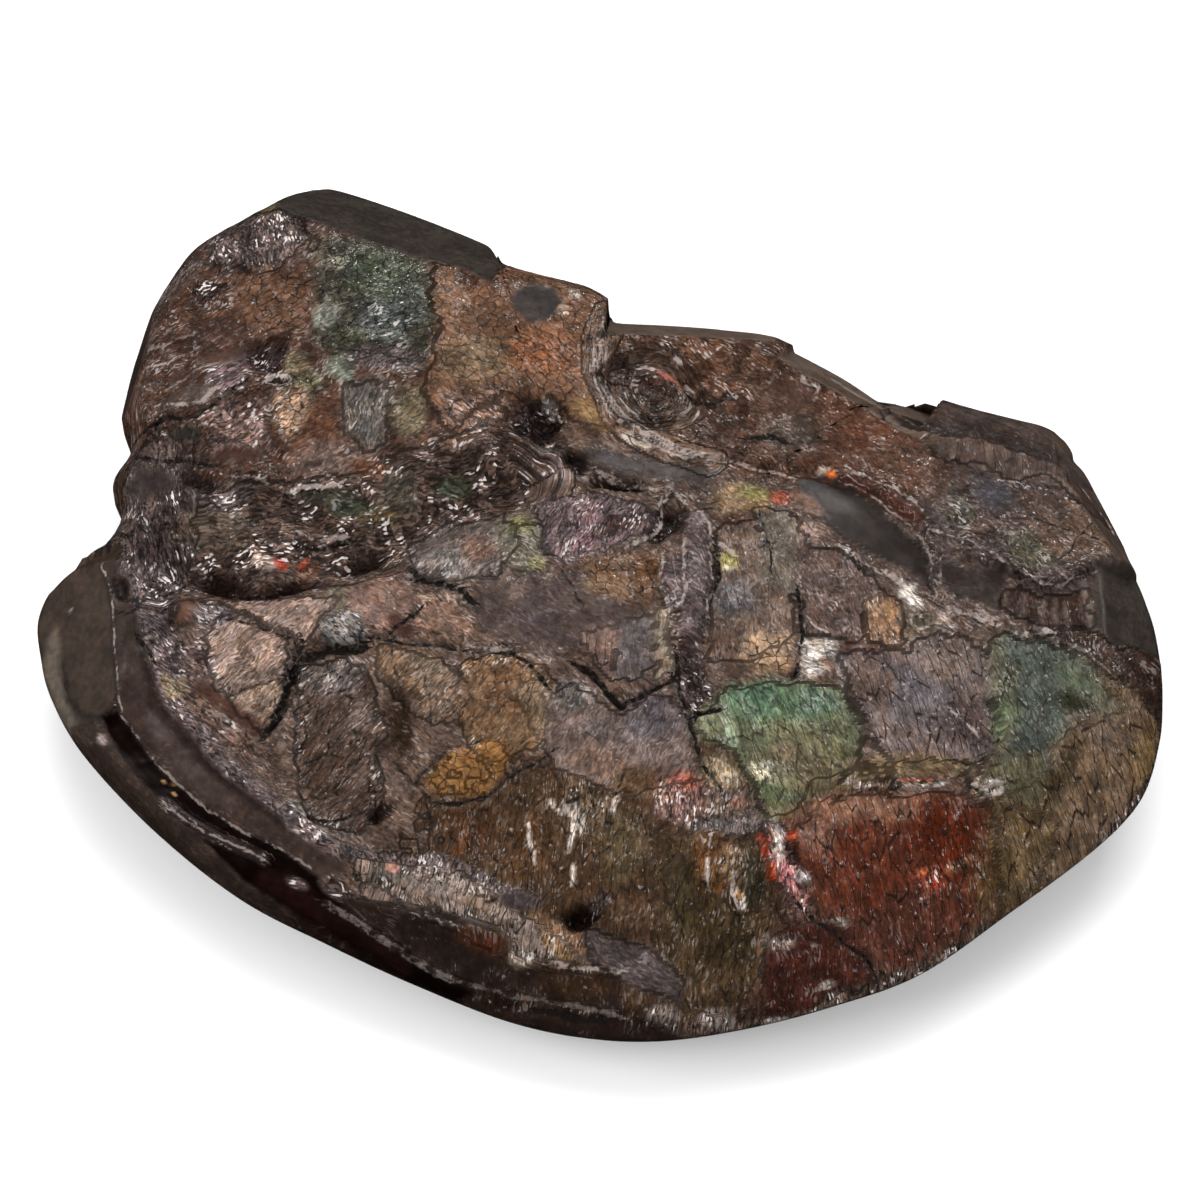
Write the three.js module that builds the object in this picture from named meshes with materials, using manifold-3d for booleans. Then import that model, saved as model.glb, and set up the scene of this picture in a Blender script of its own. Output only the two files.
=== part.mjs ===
// Ammolite specimen: a palm-sized lump of brown ironstone with crushed, layered ammonite shell on its upper face.
// One natural piece, polished on its flats and left rough in its hollows. It lies on a small ground base.
// Millimetres, +Z up. X runs along the long side, Y to the back, and the origin is under the middle, on the base.
import * as THREE from 'three';
import { mergeVertices } from 'three/addons/utils/BufferGeometryUtils.js';
import Module from 'manifold-3d';

const wasm = await Module();
wasm.setup();

const DEGREE = Math.PI / 180;

// Driving dimensions.
const FACE_LEVEL = 20.5; // usual height of the upper face above the base
const MIDDLE = { x: -3, y: -5 }; // every point of the outline can be seen from here
const GRID_STEPS = 42; // quads across the upper face
const BELLY_RINGS = 4; // rows of faces from the widest line down to the base
const BELLY_TURN = 72 * DEGREE; // how far the belly has turned under where it meets the base
const LAYER_ROOT = 3; // how deep a shell layer is rooted in the stone below it
const LAYER_FLUSH = 0.2; // how proud a layer still stands at its flush side
const KNOB_ROOT = 1.5; // how deep the middle of a knob lies in the stone
const CRACK_END = 0.3; // width of a crack at its ends, as a share of its width
const PIT_MOUTH = 0.3; // how far the middle of a pit's ball lies above the face
const CUT_REACH = 60; // size of the blocks that grind a flat, well past the stone
const CURVE_STEPS = 8; // samples of the outline between two of its points
const WELD = 1e-4; // corners closer than this are one

// The widest line of the stone as seen from above, counterclockwise from the right end.
const RIM = [
  [63.9, -13.3], [63.9, -8.4], [63.1, -2.8], [61.1, 2.0], [58.4, 11.5], [56.9, 15.3], [56, 16.2],
  [54.5, 19.8], [45.2, 22.9], [38.7, 25], [37.6, 24.4], [35.6, 24.4], [33.5, 23.1], [28.5, 27.3],
  [20.3, 31.7], [14.3, 33.3], [8, 34], [2.6, 34.1], [1.5, 35.7], [-1.6, 37.4], [-9.7, 39.2],
  [-12, 40.6], [-12.8, 42.8], [-22, 48.1], [-31.2, 51.9], [-34.2, 51.3], [-39, 48.3], [-43.9, 45.2],
  [-49.1, 41], [-53.8, 31.6], [-55.2, 26.6], [-55.7, 20.6], [-54.3, 15.5], [-56.1, 11.4], [-54.9, 7.2],
  [-57.3, 2.8], [-62.2, 0.4], [-64.2, -3.2], [-63.5, -8], [-61.9, -13], [-58, -19.4], [-49.5, -28.2],
  [-39.7, -35.9], [-29.7, -41.1], [-19.7, -45.8], [-9.7, -49.8], [-1, -51.7], [7, -52.1], [16, -50.9],
  [25.3, -48.6], [35.3, -45], [45.3, -38.2], [55.3, -30.8], [60.6, -25.3], [63.1, -18.8],
];

// How the edge is shaped, by bearing in degrees: height of the widest line, width over which the upper face
// slopes down to it, how far the belly tucks in below it, and how round the slope is, from 1 for a straight slope
// to 2 for a quarter circle.
const EDGE = [
  { bearing: -90, height: 9.5, slope: 17, tuck: 16, round: 1.3 },
  { bearing: -55, height: 11, slope: 17, tuck: 20, round: 1.3 },
  { bearing: -25, height: 12, slope: 15, tuck: 20, round: 1.35 },
  { bearing: -8, height: 12.5, slope: 8, tuck: 17, round: 1.5 },
  { bearing: 0, height: 13, slope: 4, tuck: 14, round: 2 },
  { bearing: 30, height: 12.5, slope: 3, tuck: 13, round: 2 },
  { bearing: 60, height: 14.5, slope: 5, tuck: 13, round: 2 },
  { bearing: 95, height: 15, slope: 4, tuck: 12, round: 2 },
  { bearing: 130, height: 15, slope: 4, tuck: 12, round: 2 },
  { bearing: 160, height: 14, slope: 4, tuck: 12, round: 2 },
  { bearing: 178, height: 12.5, slope: 3, tuck: 10, round: 2 },
  { bearing: 205, height: 10.5, slope: 3, tuck: 9, round: 2 },
  { bearing: 240, height: 9.5, slope: 4, tuck: 11, round: 1.8 },
  { bearing: 255, height: 9.5, slope: 10, tuck: 13, round: 1.4 },
  { bearing: 270, height: 9.5, slope: 17, tuck: 16, round: 1.3 },
];

// Broad mounds and dips of the upper face: where, half width along and across, turn in degrees, lift.
const SWELLS = [
  { at: [-28, 26], along: 25, across: 22, turn: 0, lift: 5.4 }, // the high lobe
  { at: [-8, 27], along: 14, across: 13, turn: 0, lift: 0.8 },
  { at: [-8, -10], along: 30, across: 15, turn: -10, lift: 1.6 },
  { at: [36, -14], along: 26, across: 15, turn: -15, lift: 0.8 },
  { at: [-10, -17.5], along: 6, across: 4.5, turn: -15, lift: 1.3 }, // a rounded knob of shell
  { at: [-40, 3], along: 13, across: 5, turn: 5, lift: -2.6 },
  { at: [-14, 6], along: 14, across: 4.5, turn: 22, lift: -1.8 },
  { at: [14, 21], along: 18, across: 9, turn: -20, lift: -2.6 },
  { at: [50, 10], along: 14, across: 10, turn: -20, lift: 0.5 },
  { at: [-36, -26], along: 26, across: 8, turn: -30, lift: -2 },
];

// Long hollows and ridges that follow the broken edges of the shell: half width, lift, route.
const FURROWS = [
  { width: 2.8, lift: -3,
    route: [[-50, 0], [-38, -3], [-31, -1], [-25, 0.5], [-19, 5], [-13, 8], [-8, 10], [-6, 17]] },
  { width: 3, lift: -3,
    route: [[-54, -19], [-46, -28.5], [-33, -37], [-16, -44.5], [-6, -47.5]] },
  { width: 1.8, lift: 1.1,
    route: [[-52.5, -3], [-49.5, -10.5], [-43, -22], [-33.5, -30.5], [-20, -38.5], [-5, -43]] },
  { width: 1.8, lift: 0.9,
    route: [[10, 5], [10.5, -3], [10, -10]] },
  { width: 1.8, lift: 1,
    route: [[-49.5, 17.5], [-45, 16.5], [-39.5, 20]] },
  { width: 1.8, lift: 1.2,
    route: [[-40, 9.5], [-35, 8], [-27, 8]] },
  { width: 2.2, lift: -1.3,
    route: [[23, 11.5], [28.5, 8], [33, 3.5], [37, -3]] },
];

// Plates of shell that stand a little proud of what they lie on, most at one broken edge: thickness at that
// edge, the bearing it faces, and the outline.
const PLATES = [
  { lift: 1.6, faces: -60,
    outline: [[-48, -6], [-44, -4.5], [-34, -6.5], [-31, -9], [-34.5, -16], [-40, -19], [-44, -16.5]] },
  { lift: 1.2, faces: -90,
    outline: [[-31, -5.5], [-22, -4.5], [-16.5, -6.5], [-13, -9.5], [-15, -11], [-25, -10.5]] },
  { lift: 1.3, faces: -80,
    outline: [[-21, 2.5], [-17.5, 5], [-10, 6.5], [-6, 5.5], [-5.8, 0], [-13, -4], [-20.5, -3]] },
  { lift: 1.8, faces: -100,
    outline: [[-6.5, 8], [7, 7.5], [6, 2], [0, 0.5], [-6, 1]] },
  { lift: 1, faces: 180,
    outline: [[-13, -5], [-4, -3], [7, -4.5], [6.5, -10], [-4, -10.5], [-12.5, -9]] },
  { lift: 1.5, faces: 90,
    outline: [[-19, -26], [-16, -22.7], [-12, -22], [-9.3, -23.5], [-12, -27], [-15, -28.2]] },
  { lift: 1.2, faces: 0,
    outline: [[-33.5, -17], [-29.5, -13.5], [-25, -15], [-23, -24], [-23.5, -34], [-30, -30]] },
  { lift: 1.2, faces: 90,
    outline: [[-4, -12.5], [2.6, -18.3], [8.2, -15.5], [9.5, -19], [12, -27], [0, -27.5], [-5, -23]] },
  { lift: 1, faces: -90,
    outline: [[13.5, 0.5], [29, -1], [28, -9], [21.5, -9.5], [21, -14.5], [12.5, -14.5]] },
  { lift: 1.6, faces: 0,
    outline: [[22.3, -10], [26.2, -10], [26, -14.2], [22.3, -14.2]] },
  { lift: 1.4, faces: 90,
    outline: [[11.5, -17.5], [18, -15.3], [26.5, -15.3], [27.5, -22], [20, -23], [12, -22.5]] },
  { lift: 1.6, faces: 90,
    outline: [[29, -5], [32, -3.5], [35, -5], [34.5, -10], [29.5, -10.5]] },
  { lift: 1.3, faces: 100,
    outline: [[27.5, -11.5], [34, -10.5], [43.5, -14.5], [42, -23.5], [33, -23.5], [28.5, -21]] },
  { lift: 1.4, faces: 90,
    outline: [[20.5, -30.5], [25, -28], [41.5, -28], [42, -36], [36, -41], [22, -41]] },
  { lift: 1.2, faces: 180,
    outline: [[44.5, -10], [55, -11.5], [59, -17], [56, -22], [45, -22.5]] },
  { lift: 2.6, faces: -100,
    outline: [[41, 9], [50.5, 10.5], [58, 2], [56.5, -3.5], [47, -3.5], [41, 0.5]] },
  { lift: 1.4, faces: -90,
    outline: [[38, -3.8], [55.5, -3.8], [55.5, -8.8], [38.5, -8.5]] },
  { lift: 1.4, faces: -90,
    outline: [[-31.5, 38], [-18.5, 36], [-17.5, 26], [-22, 22.5], [-31, 24]] },
  { lift: 1.2, faces: -90,
    outline: [[-46, 33], [-33.5, 33], [-32.5, 26.5], [-45.5, 27]] },
  { lift: 1.8, faces: -30,
    outline: [[-16.5, 36], [-4, 33], [0, 27], [-1, 20.5], [-8, 20.5], [-17, 24]] },
  { lift: 1.2, faces: -90,
    outline: [[-25, 20], [-18, 19.5], [-17.5, 13], [-24.5, 12]] },
  { lift: 1.2, faces: 90,
    outline: [[-12, -29], [9, -28.5], [9.5, -41], [0, -43], [-7, -38]] },
  { lift: 1.2, faces: 180,
    outline: [[10.5, -31], [17.5, -31], [19.5, -43], [14, -46.5], [11, -42]] },
];

// Rounded knobs in the rough parts: where, half width along and across, turn in degrees, how proud they stand.
const KNOBS = [
  { at: [-49, 36], along: 3.2, across: 2.4, turn: 50, proud: 1.4 },
  { at: [-43.5, 40.5], along: 3.6, across: 2.4, turn: 35, proud: 1.4 },
  { at: [-37.5, 38], along: 3.4, across: 2.6, turn: 10, proud: 1.5 },
  { at: [-43, 36], along: 2.8, across: 2, turn: -10, proud: 1.2 },
  { at: [-51, 25], along: 3.4, across: 1.8, turn: 80, proud: 1.1 },
  { at: [-47, 22], along: 3.4, across: 2.2, turn: 20, proud: 1 },
  { at: [-33, 19], along: 4, across: 2.6, turn: 30, proud: 1.1 },
  { at: [-42.5, 13], along: 3.6, across: 2.2, turn: -10, proud: 1.2 },
  { at: [-12, 16], along: 3.6, across: 2.6, turn: 20, proud: 1.2 },
  { at: [6.5, 23.5], along: 5.2, across: 4.4, turn: 0, proud: 0.9 },
  { at: [-28.5, -8.6], along: 2.6, across: 1.4, turn: 10, proud: 1.6 },
  { at: [12, -29.4], along: 4.2, across: 1.5, turn: 5, proud: 1.2 },
];

// Open cracks between the plates: route, width at the face, depth.
const CRACKS = [
  { route: [[-20.5, -1.5], [-20.2, -3.3], [-16.4, -4.2], [-13.3, -7]], width: 0.9, depth: 1.6 },
  { route: [[-25.5, -10.8], [-15, -11.4], [-9.4, -12], [-6.8, -14.2]], width: 1, depth: 1.6 },
  { route: [[-3, -13.4], [2.6, -18], [8.4, -14.8]], width: 1.1, depth: 2 },
  { route: [[8.3, -6.5], [8.5, -15], [10.6, -19], [13.4, -18.3]], width: 1, depth: 1.8 },
  { route: [[9.6, -17], [10.6, -20.5], [12.3, -26.5]], width: 0.9, depth: 1.4 },
  { route: [[-33, -13.4], [-30.6, -10.7], [-25.5, -11.2]], width: 1, depth: 1.6 },
  { route: [[-17.1, -29], [-11.8, -27.6], [-7.3, -24.8]], width: 1, depth: 1.6 },
  { route: [[20.7, -39.4], [24.2, -42.6], [28.3, -45.6]], width: 0.9, depth: 1.4 },
  { route: [[19.5, -24], [18.6, -31], [20.3, -38]], width: 1.2, depth: 1.6 },
];

// Dark pits and cavities: where, half width along and across, turn in degrees, depth.
const PITS = [
  { at: [-6.3, 17.2], along: 2.6, across: 2, turn: 30, depth: 3 },
  { at: [-37.6, 24.2], along: 2.2, across: 1.8, turn: 0, depth: 2.2 },
  { at: [-36, -3.2], along: 3.6, across: 1.1, turn: 5, depth: 2.4 },
  { at: [-42.6, -1.4], along: 2, across: 1.4, turn: -20, depth: 2.2 },
  { at: [2.3, 9.4], along: 3.4, across: 1.2, turn: 5, depth: 2 },
  { at: [-2.6, -40.4], along: 2, across: 1.1, turn: 0, depth: 1.6 },
];

// Flats that were ground on the stone: a point of each, the bearing it faces, its slope, its half length.
const FLATS = [
  { at: [-28.7, 40.6, 24], bearing: 71, slope: 40, half: 18 },
  { at: [-54.5, -9, 18.6], bearing: 186, slope: 38, half: 11 },
  { at: [-52.5, 28, 21], bearing: 170, slope: 70, half: 14 },
  { at: [12, 30, 19], bearing: 86, slope: 52, half: 11 },
  { at: [29, 22.5, 18.5], bearing: 57, slope: 50, half: 9 },
  { at: [57.5, 6.5, 18], bearing: 28, slope: 55, half: 14 },
  { at: [58, -5, 19], bearing: 0, slope: 45, half: 5 },
];

// The low step at the back right corner: its inner edge with room outside the stone, and its height.
const STEP = {
  height: 15.6,
  outline: [[33, 18.5], [42, 15.6], [52.5, 13], [56, 10.5], [70, 12], [62, 32], [34, 34]],
};

// Value of a list of edge stations at a bearing, in a straight line from one station to the next.
function edgeAt(angle) {
  const bearing = THREE.MathUtils.euclideanModulo(angle / DEGREE + 90, 360) - 90;
  const next = EDGE.findIndex((station) => station.bearing >= bearing);
  const after = EDGE[Math.max(next, 1)];
  const before = EDGE[Math.max(next, 1) - 1];
  const share = (bearing - before.bearing) / (after.bearing - before.bearing);
  return {
    height: THREE.MathUtils.lerp(before.height, after.height, share),
    slope: THREE.MathUtils.lerp(before.slope, after.slope, share),
    tuck: THREE.MathUtils.lerp(before.tuck, after.tuck, share),
    round: THREE.MathUtils.lerp(before.round, after.round, share),
  };
}

// The outline as bearing and distance from the middle, sampled along a smooth closed curve.
const rimPoints = RIM.map(([x, y]) => new THREE.Vector3(x, y, 0));
const rimCurve = new THREE.CatmullRomCurve3(rimPoints, true, 'catmullrom', 0.5);
const rimSamples = rimCurve.getPoints(RIM.length * CURVE_STEPS).slice(1).map((point) => ({
  angle: Math.atan2(point.y - MIDDLE.y, point.x - MIDDLE.x),
  reach: Math.hypot(point.x - MIDDLE.x, point.y - MIDDLE.y),
})).sort((a, b) => a.angle - b.angle);

// Distance from the middle to the outline at a bearing.
function rimReach(angle) {
  const found = rimSamples.findIndex((sample) => sample.angle >= angle);
  const next = found < 0 ? 0 : found;
  const after = rimSamples[next];
  const before = rimSamples[(next + rimSamples.length - 1) % rimSamples.length];
  const turn = 2 * Math.PI;
  const gap = THREE.MathUtils.euclideanModulo(after.angle - before.angle, turn);
  const share = THREE.MathUtils.euclideanModulo(angle - before.angle, turn) / gap;
  return THREE.MathUtils.lerp(before.reach, after.reach, share);
}

// How far a point lies from a route, in plan.
function distanceToRoute(x, y, route) {
  const point = new THREE.Vector3(x, y, 0);
  const nearest = new THREE.Vector3();
  let distance = Infinity;
  for (let i = 1; i < route.length; i++) {
    const leg = new THREE.Line3(new THREE.Vector3(...route[i - 1], 0), new THREE.Vector3(...route[i], 0));
    leg.closestPointToPoint(point, true, nearest);
    distance = Math.min(distance, nearest.distanceTo(point));
  }
  return distance;
}

// Height of the upper face before any plate, crack or flat.
function faceHeight(x, y) {
  let height = FACE_LEVEL;
  for (const swell of SWELLS) {
    const offset = new THREE.Vector2(x - swell.at[0], y - swell.at[1]);
    offset.rotateAround(new THREE.Vector2(), -swell.turn * DEGREE);
    height += swell.lift * Math.exp(-((offset.x / swell.along) ** 2) - (offset.y / swell.across) ** 2);
  }
  for (const furrow of FURROWS) {
    height += furrow.lift * Math.exp(-((distanceToRoute(x, y, furrow.route) / furrow.width) ** 2));
  }
  const angle = Math.atan2(y - MIDDLE.y, x - MIDDLE.x);
  const edge = edgeAt(angle);
  const inside = rimReach(angle) - Math.hypot(x - MIDDLE.x, y - MIDDLE.y);
  const share = THREE.MathUtils.clamp(inside / edge.slope, 0, 1);
  return edge.height + (height - edge.height) * (1 - (1 - share) ** edge.round) ** (1 / edge.round);
}

// The whole lump: upper face on a grid drawn out to the outline, belly in rings below it, and the flat base.
function lumpGeometry() {
  const face = new THREE.PlaneGeometry(2, 2, GRID_STEPS, GRID_STEPS);
  const points = face.attributes.position;
  const places = [];
  for (let i = 0; i < points.count; i++) {
    const u = points.getX(i);
    const v = points.getY(i);
    const across = u * Math.sqrt(1 - (v * v) / 2);
    const back = v * Math.sqrt(1 - (u * u) / 2);
    const angle = Math.atan2(back, across);
    const reach = rimReach(angle) * Math.min(Math.hypot(across, back), 1);
    const x = MIDDLE.x + reach * Math.cos(angle);
    const y = MIDDLE.y + reach * Math.sin(angle);
    places.push(x, y, faceHeight(x, y));
  }
  const faces = [...face.index.array];

  const side = GRID_STEPS + 1;
  const last = side * side - 1;
  const loop = [];
  for (let i = 0; i < GRID_STEPS; i++) loop.push(i * side);
  for (let i = 0; i < GRID_STEPS; i++) loop.push(last - GRID_STEPS + i);
  for (let i = 0; i < GRID_STEPS; i++) loop.push(last - i * side);
  for (let i = 0; i < GRID_STEPS; i++) loop.push(GRID_STEPS - i);

  let upper = loop;
  for (let ring = 1; ring <= BELLY_RINGS; ring++) {
    const turned = (BELLY_TURN * ring) / BELLY_RINGS;
    const lower = [];
    for (const corner of loop) {
      const x = places[corner * 3];
      const y = places[corner * 3 + 1];
      const angle = Math.atan2(y - MIDDLE.y, x - MIDDLE.x);
      const edge = edgeAt(angle);
      const tuck = (edge.tuck * (1 - Math.cos(turned))) / (1 - Math.cos(BELLY_TURN));
      const reach = rimReach(angle) - tuck;
      lower.push(places.length / 3);
      places.push(
        MIDDLE.x + reach * Math.cos(angle),
        MIDDLE.y + reach * Math.sin(angle),
        edge.height * (1 - Math.sin(turned) / Math.sin(BELLY_TURN)),
      );
    }
    for (let i = 0; i < loop.length; i++) {
      const next = (i + 1) % loop.length;
      faces.push(upper[i], lower[i], lower[next], upper[i], lower[next], upper[next]);
    }
    upper = lower;
  }
  const baseMiddle = places.length / 3;
  places.push(MIDDLE.x, MIDDLE.y, 0);
  for (let i = 0; i < loop.length; i++) faces.push(upper[(i + 1) % loop.length], upper[i], baseMiddle);

  const lump = new THREE.BufferGeometry();
  lump.setAttribute('position', new THREE.Float32BufferAttribute(places, 3));
  lump.setIndex(faces);
  return lump;
}

// A plate of shell draped on the face, rooted in the stone. It stands proud by its thickness at the broken edge
// and runs out flush with the face on the other side.
function plateGeometry({ outline, lift, faces }) {
  const shape = new THREE.Shape(outline.map(([x, y]) => new THREE.Vector2(x, y)));
  const plate = new THREE.ExtrudeGeometry(shape, { depth: 1, bevelEnabled: false });
  const toEdge = new THREE.Vector2(Math.cos(faces * DEGREE), Math.sin(faces * DEGREE));
  const along = outline.map(([x, y]) => toEdge.dot(new THREE.Vector2(x, y)));
  const [flush, edge] = [Math.min(...along), Math.max(...along)];
  const points = plate.attributes.position;
  for (let i = 0; i < points.count; i++) {
    const corner = new THREE.Vector2(points.getX(i), points.getY(i));
    const share = (toEdge.dot(corner) - flush) / (edge - flush);
    const proud = points.getZ(i) > 0.5 ? THREE.MathUtils.lerp(LAYER_FLUSH, lift, share) : -LAYER_ROOT;
    points.setZ(i, faceHeight(corner.x, corner.y) + proud);
  }
  return plate;
}

// A knob as a flattened ball set in the face.
function knobGeometry({ at, along, across, turn, proud }) {
  const ball = new THREE.IcosahedronGeometry(1, 1);
  ball.scale(along, across, proud + KNOB_ROOT);
  ball.rotateZ(turn * DEGREE);
  return ball.translate(at[0], at[1], faceHeight(...at) - KNOB_ROOT);
}

// A wedge that follows a route over the face, wide above it and sharp below it, closed to a point at both ends.
function crackGeometry({ route, width, depth }) {
  const places = [];
  const faces = [];
  route.forEach(([x, y], i) => {
    const back = route[Math.max(i - 1, 0)];
    const ahead = route[Math.min(i + 1, route.length - 1)];
    const across = new THREE.Vector2(back[1] - ahead[1], ahead[0] - back[0]).setLength(width);
    if (i === 0 || i === route.length - 1) across.multiplyScalar(CRACK_END);
    const face = faceHeight(x, y) + 1;
    places.push(x + across.x, y + across.y, face + 1, x - across.x, y - across.y, face + 1, x, y, face - depth);
  });
  for (let i = 1; i < route.length; i++) {
    const [left, right, floor] = [3 * i - 3, 3 * i - 2, 3 * i - 1];
    const [farLeft, farRight, farFloor] = [left + 3, right + 3, floor + 3];
    faces.push(left, right, farRight, left, farRight, farLeft);
    faces.push(right, floor, farFloor, right, farFloor, farRight);
    faces.push(floor, left, farLeft, floor, farLeft, farFloor);
  }
  const end = 3 * route.length - 3;
  faces.push(0, 2, 1, end, end + 1, end + 2);
  const crack = new THREE.BufferGeometry();
  crack.setAttribute('position', new THREE.Float32BufferAttribute(places, 3));
  crack.setIndex(faces);
  return crack;
}

// The round hollow of a pit, as a flattened ball sunk in the face.
function pitGeometry({ at, along, across, turn, depth }) {
  const pit = new THREE.IcosahedronGeometry(1, 1);
  pit.scale(along, across, depth);
  pit.rotateZ(turn * DEGREE);
  return pit.translate(at[0], at[1], faceHeight(...at) + PIT_MOUTH);
}

// The block that a ground flat takes away: its underside is the flat.
function flatGeometry({ at, bearing, slope, half }) {
  const block = new THREE.BoxGeometry(CUT_REACH, 2 * half, CUT_REACH);
  block.translate(0, 0, CUT_REACH / 2);
  block.rotateY(slope * DEGREE);
  block.rotateZ(bearing * DEGREE);
  return block.translate(...at);
}

// The block above the low step.
function stepGeometry({ outline, height }) {
  const shape = new THREE.Shape(outline.map(([x, y]) => new THREE.Vector2(x, y)));
  const block = new THREE.ExtrudeGeometry(shape, { depth: CUT_REACH, bevelEnabled: false });
  return block.translate(0, 0, height);
}

// A closed geometry as a solid that can be joined and cut.
function solid(geometry) {
  const shell = geometry.clone();
  shell.deleteAttribute('normal');
  shell.deleteAttribute('uv');
  const welded = mergeVertices(shell, WELD);
  return new wasm.Manifold(new wasm.Mesh({
    numProp: 3,
    vertProperties: new Float32Array(welded.attributes.position.array),
    triVerts: new Uint32Array(welded.index.array),
  }));
}

// A solid's surface as a geometry.
function surface(body) {
  const mesh = body.getMesh();
  const geometry = new THREE.BufferGeometry();
  geometry.setAttribute('position', new THREE.Float32BufferAttribute(mesh.vertProperties, 3));
  geometry.setIndex([...mesh.triVerts]);
  geometry.computeVertexNormals();
  return geometry;
}

// Polished brown ironstone, darkened by the lacquer on it.
function ironstone() {
  return new THREE.MeshStandardMaterial({ color: 0x4a3a33, roughness: 0.35, metalness: 0 });
}

function ammoliteSlab() {
  let stone = solid(lumpGeometry());
  for (const plate of PLATES) stone = stone.add(solid(plateGeometry(plate)));
  for (const knob of KNOBS) stone = stone.add(solid(knobGeometry(knob)));
  for (const crack of CRACKS) stone = stone.subtract(solid(crackGeometry(crack)));
  for (const pit of PITS) stone = stone.subtract(solid(pitGeometry(pit)));
  for (const flat of FLATS) stone = stone.subtract(solid(flatGeometry(flat)));
  stone = stone.subtract(solid(stepGeometry(STEP)));
  const slab = new THREE.Mesh(surface(stone), ironstone());
  slab.name = 'ammolite_slab';
  return slab;
}

const specimen = new THREE.Group();
specimen.add(ammoliteSlab());
export default specimen;
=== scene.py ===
"""Ammolite specimen: a palm-sized lump of brown ironstone with crushed ammonite shell on its upper face.

The stone is one natural piece, so it is one mesh. Its plan, rolled edge and broad mounds come first. The
plates of shell follow, with their cracks, hollows and colours, then the ground flats and the cut layers, and
last the finish. Sizes are in millimetres: X runs along the long side, Y to the back and Z up from the base.
"""
import math

import bmesh
import bpy
import numpy as np
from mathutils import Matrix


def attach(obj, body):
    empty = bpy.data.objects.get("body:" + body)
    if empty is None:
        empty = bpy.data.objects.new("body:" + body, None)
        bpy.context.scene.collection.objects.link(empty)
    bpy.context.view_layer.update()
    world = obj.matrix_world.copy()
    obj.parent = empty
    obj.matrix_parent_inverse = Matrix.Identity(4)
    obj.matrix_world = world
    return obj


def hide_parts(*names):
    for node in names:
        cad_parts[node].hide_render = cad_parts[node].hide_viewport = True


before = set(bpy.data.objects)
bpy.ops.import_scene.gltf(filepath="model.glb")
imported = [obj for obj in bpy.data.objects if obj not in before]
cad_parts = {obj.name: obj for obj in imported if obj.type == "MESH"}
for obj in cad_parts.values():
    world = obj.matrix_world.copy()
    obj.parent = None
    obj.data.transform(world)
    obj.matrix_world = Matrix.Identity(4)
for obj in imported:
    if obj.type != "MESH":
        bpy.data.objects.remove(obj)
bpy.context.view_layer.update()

MM = 0.001


# ---- The view ----
# The specimen lies on a table and is seen from its front at a steep angle, through a short portrait lens.
# The view is centred a little in front of the middle of the stone.
view_height = math.radians(66)
view_distance = 316 * MM
view_target = np.array([0.3, -4.85, 21.0]) * MM
camera_data = bpy.data.cameras.new("view")
camera_data.lens = 85
camera_data.sensor_width = 36
camera_data.clip_start = 0.01
camera = bpy.data.objects.new("view", camera_data)
camera.location = view_target + view_distance * np.array([0, -math.cos(view_height), math.sin(view_height)])
camera.rotation_euler = (math.pi / 2 - view_height, 0, 0)
bpy.context.collection.objects.link(camera)
bpy.context.scene.camera = camera


# ---- The lump: plan and edge ----
# The ironstone nodule was broken and ground to a rounded, notched outline. Its widest line lies halfway up,
# the upper face rolls down to it, and below it the belly tucks in to a ground base.
MIDDLE = (-3.0, -5.0)
RIM = [
    (63.9, -13.3), (63.9, -8.4), (63.1, -2.8), (61.1, 2.0), (58.4, 11.5), (56.9, 15.3), (56, 16.2),
    (54.5, 19.8), (45.2, 22.9), (38.7, 25), (37.6, 24.4), (35.6, 24.4), (33.5, 23.1), (28.5, 27.3),
    (20.3, 31.7), (14.3, 33.3), (8, 34), (2.6, 34.1), (1.5, 35.7), (-1.6, 37.4), (-9.7, 39.2),
    (-12, 40.6), (-12.8, 42.8), (-22, 48.1), (-31.2, 51.9), (-34.2, 51.3), (-39, 48.3), (-43.9, 45.2),
    (-49.1, 41), (-53.8, 31.6), (-55.2, 26.6), (-55.7, 20.6), (-54.3, 15.5), (-56.1, 11.4), (-54.9, 7.2),
    (-57.3, 2.8), (-62.2, 0.4), (-64.2, -3.2), (-63.5, -8), (-61.9, -13), (-58, -19.4), (-49.5, -28.2),
    (-39.7, -35.9), (-29.7, -41.1), (-19.7, -45.8), (-9.7, -49.8), (-1, -51.7), (7, -52.1), (16, -50.9),
    (25.3, -48.6), (35.3, -45), (45.3, -38.2), (55.3, -30.8), (60.6, -25.3), (63.1, -18.8),
]
# Bearing in degrees, height of the widest line, width of the slope down to it, tuck of the belly below it,
# and how round the slope is: 1 straight, 2 a quarter circle.
EDGE = [
    (-90, 9.5, 17, 16, 1.3), (-55, 11, 17, 20, 1.3), (-25, 12, 15, 20, 1.35), (-8, 12.5, 8, 17, 1.5),
    (0, 13, 4, 14, 2), (30, 12.5, 3, 13, 2), (60, 14.5, 5, 13, 2), (95, 15, 4, 12, 2), (130, 15, 4, 12, 2),
    (160, 14, 4, 12, 2), (178, 12.5, 3, 10, 2), (205, 10.5, 3, 9, 2), (240, 9.5, 4, 11, 1.8),
    (255, 9.5, 10, 13, 1.4),
]
FACE_STEPS = 280
BELLY_RINGS = 14
BELLY_TURN = math.radians(72)
CURVE_STEPS = 12


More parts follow.
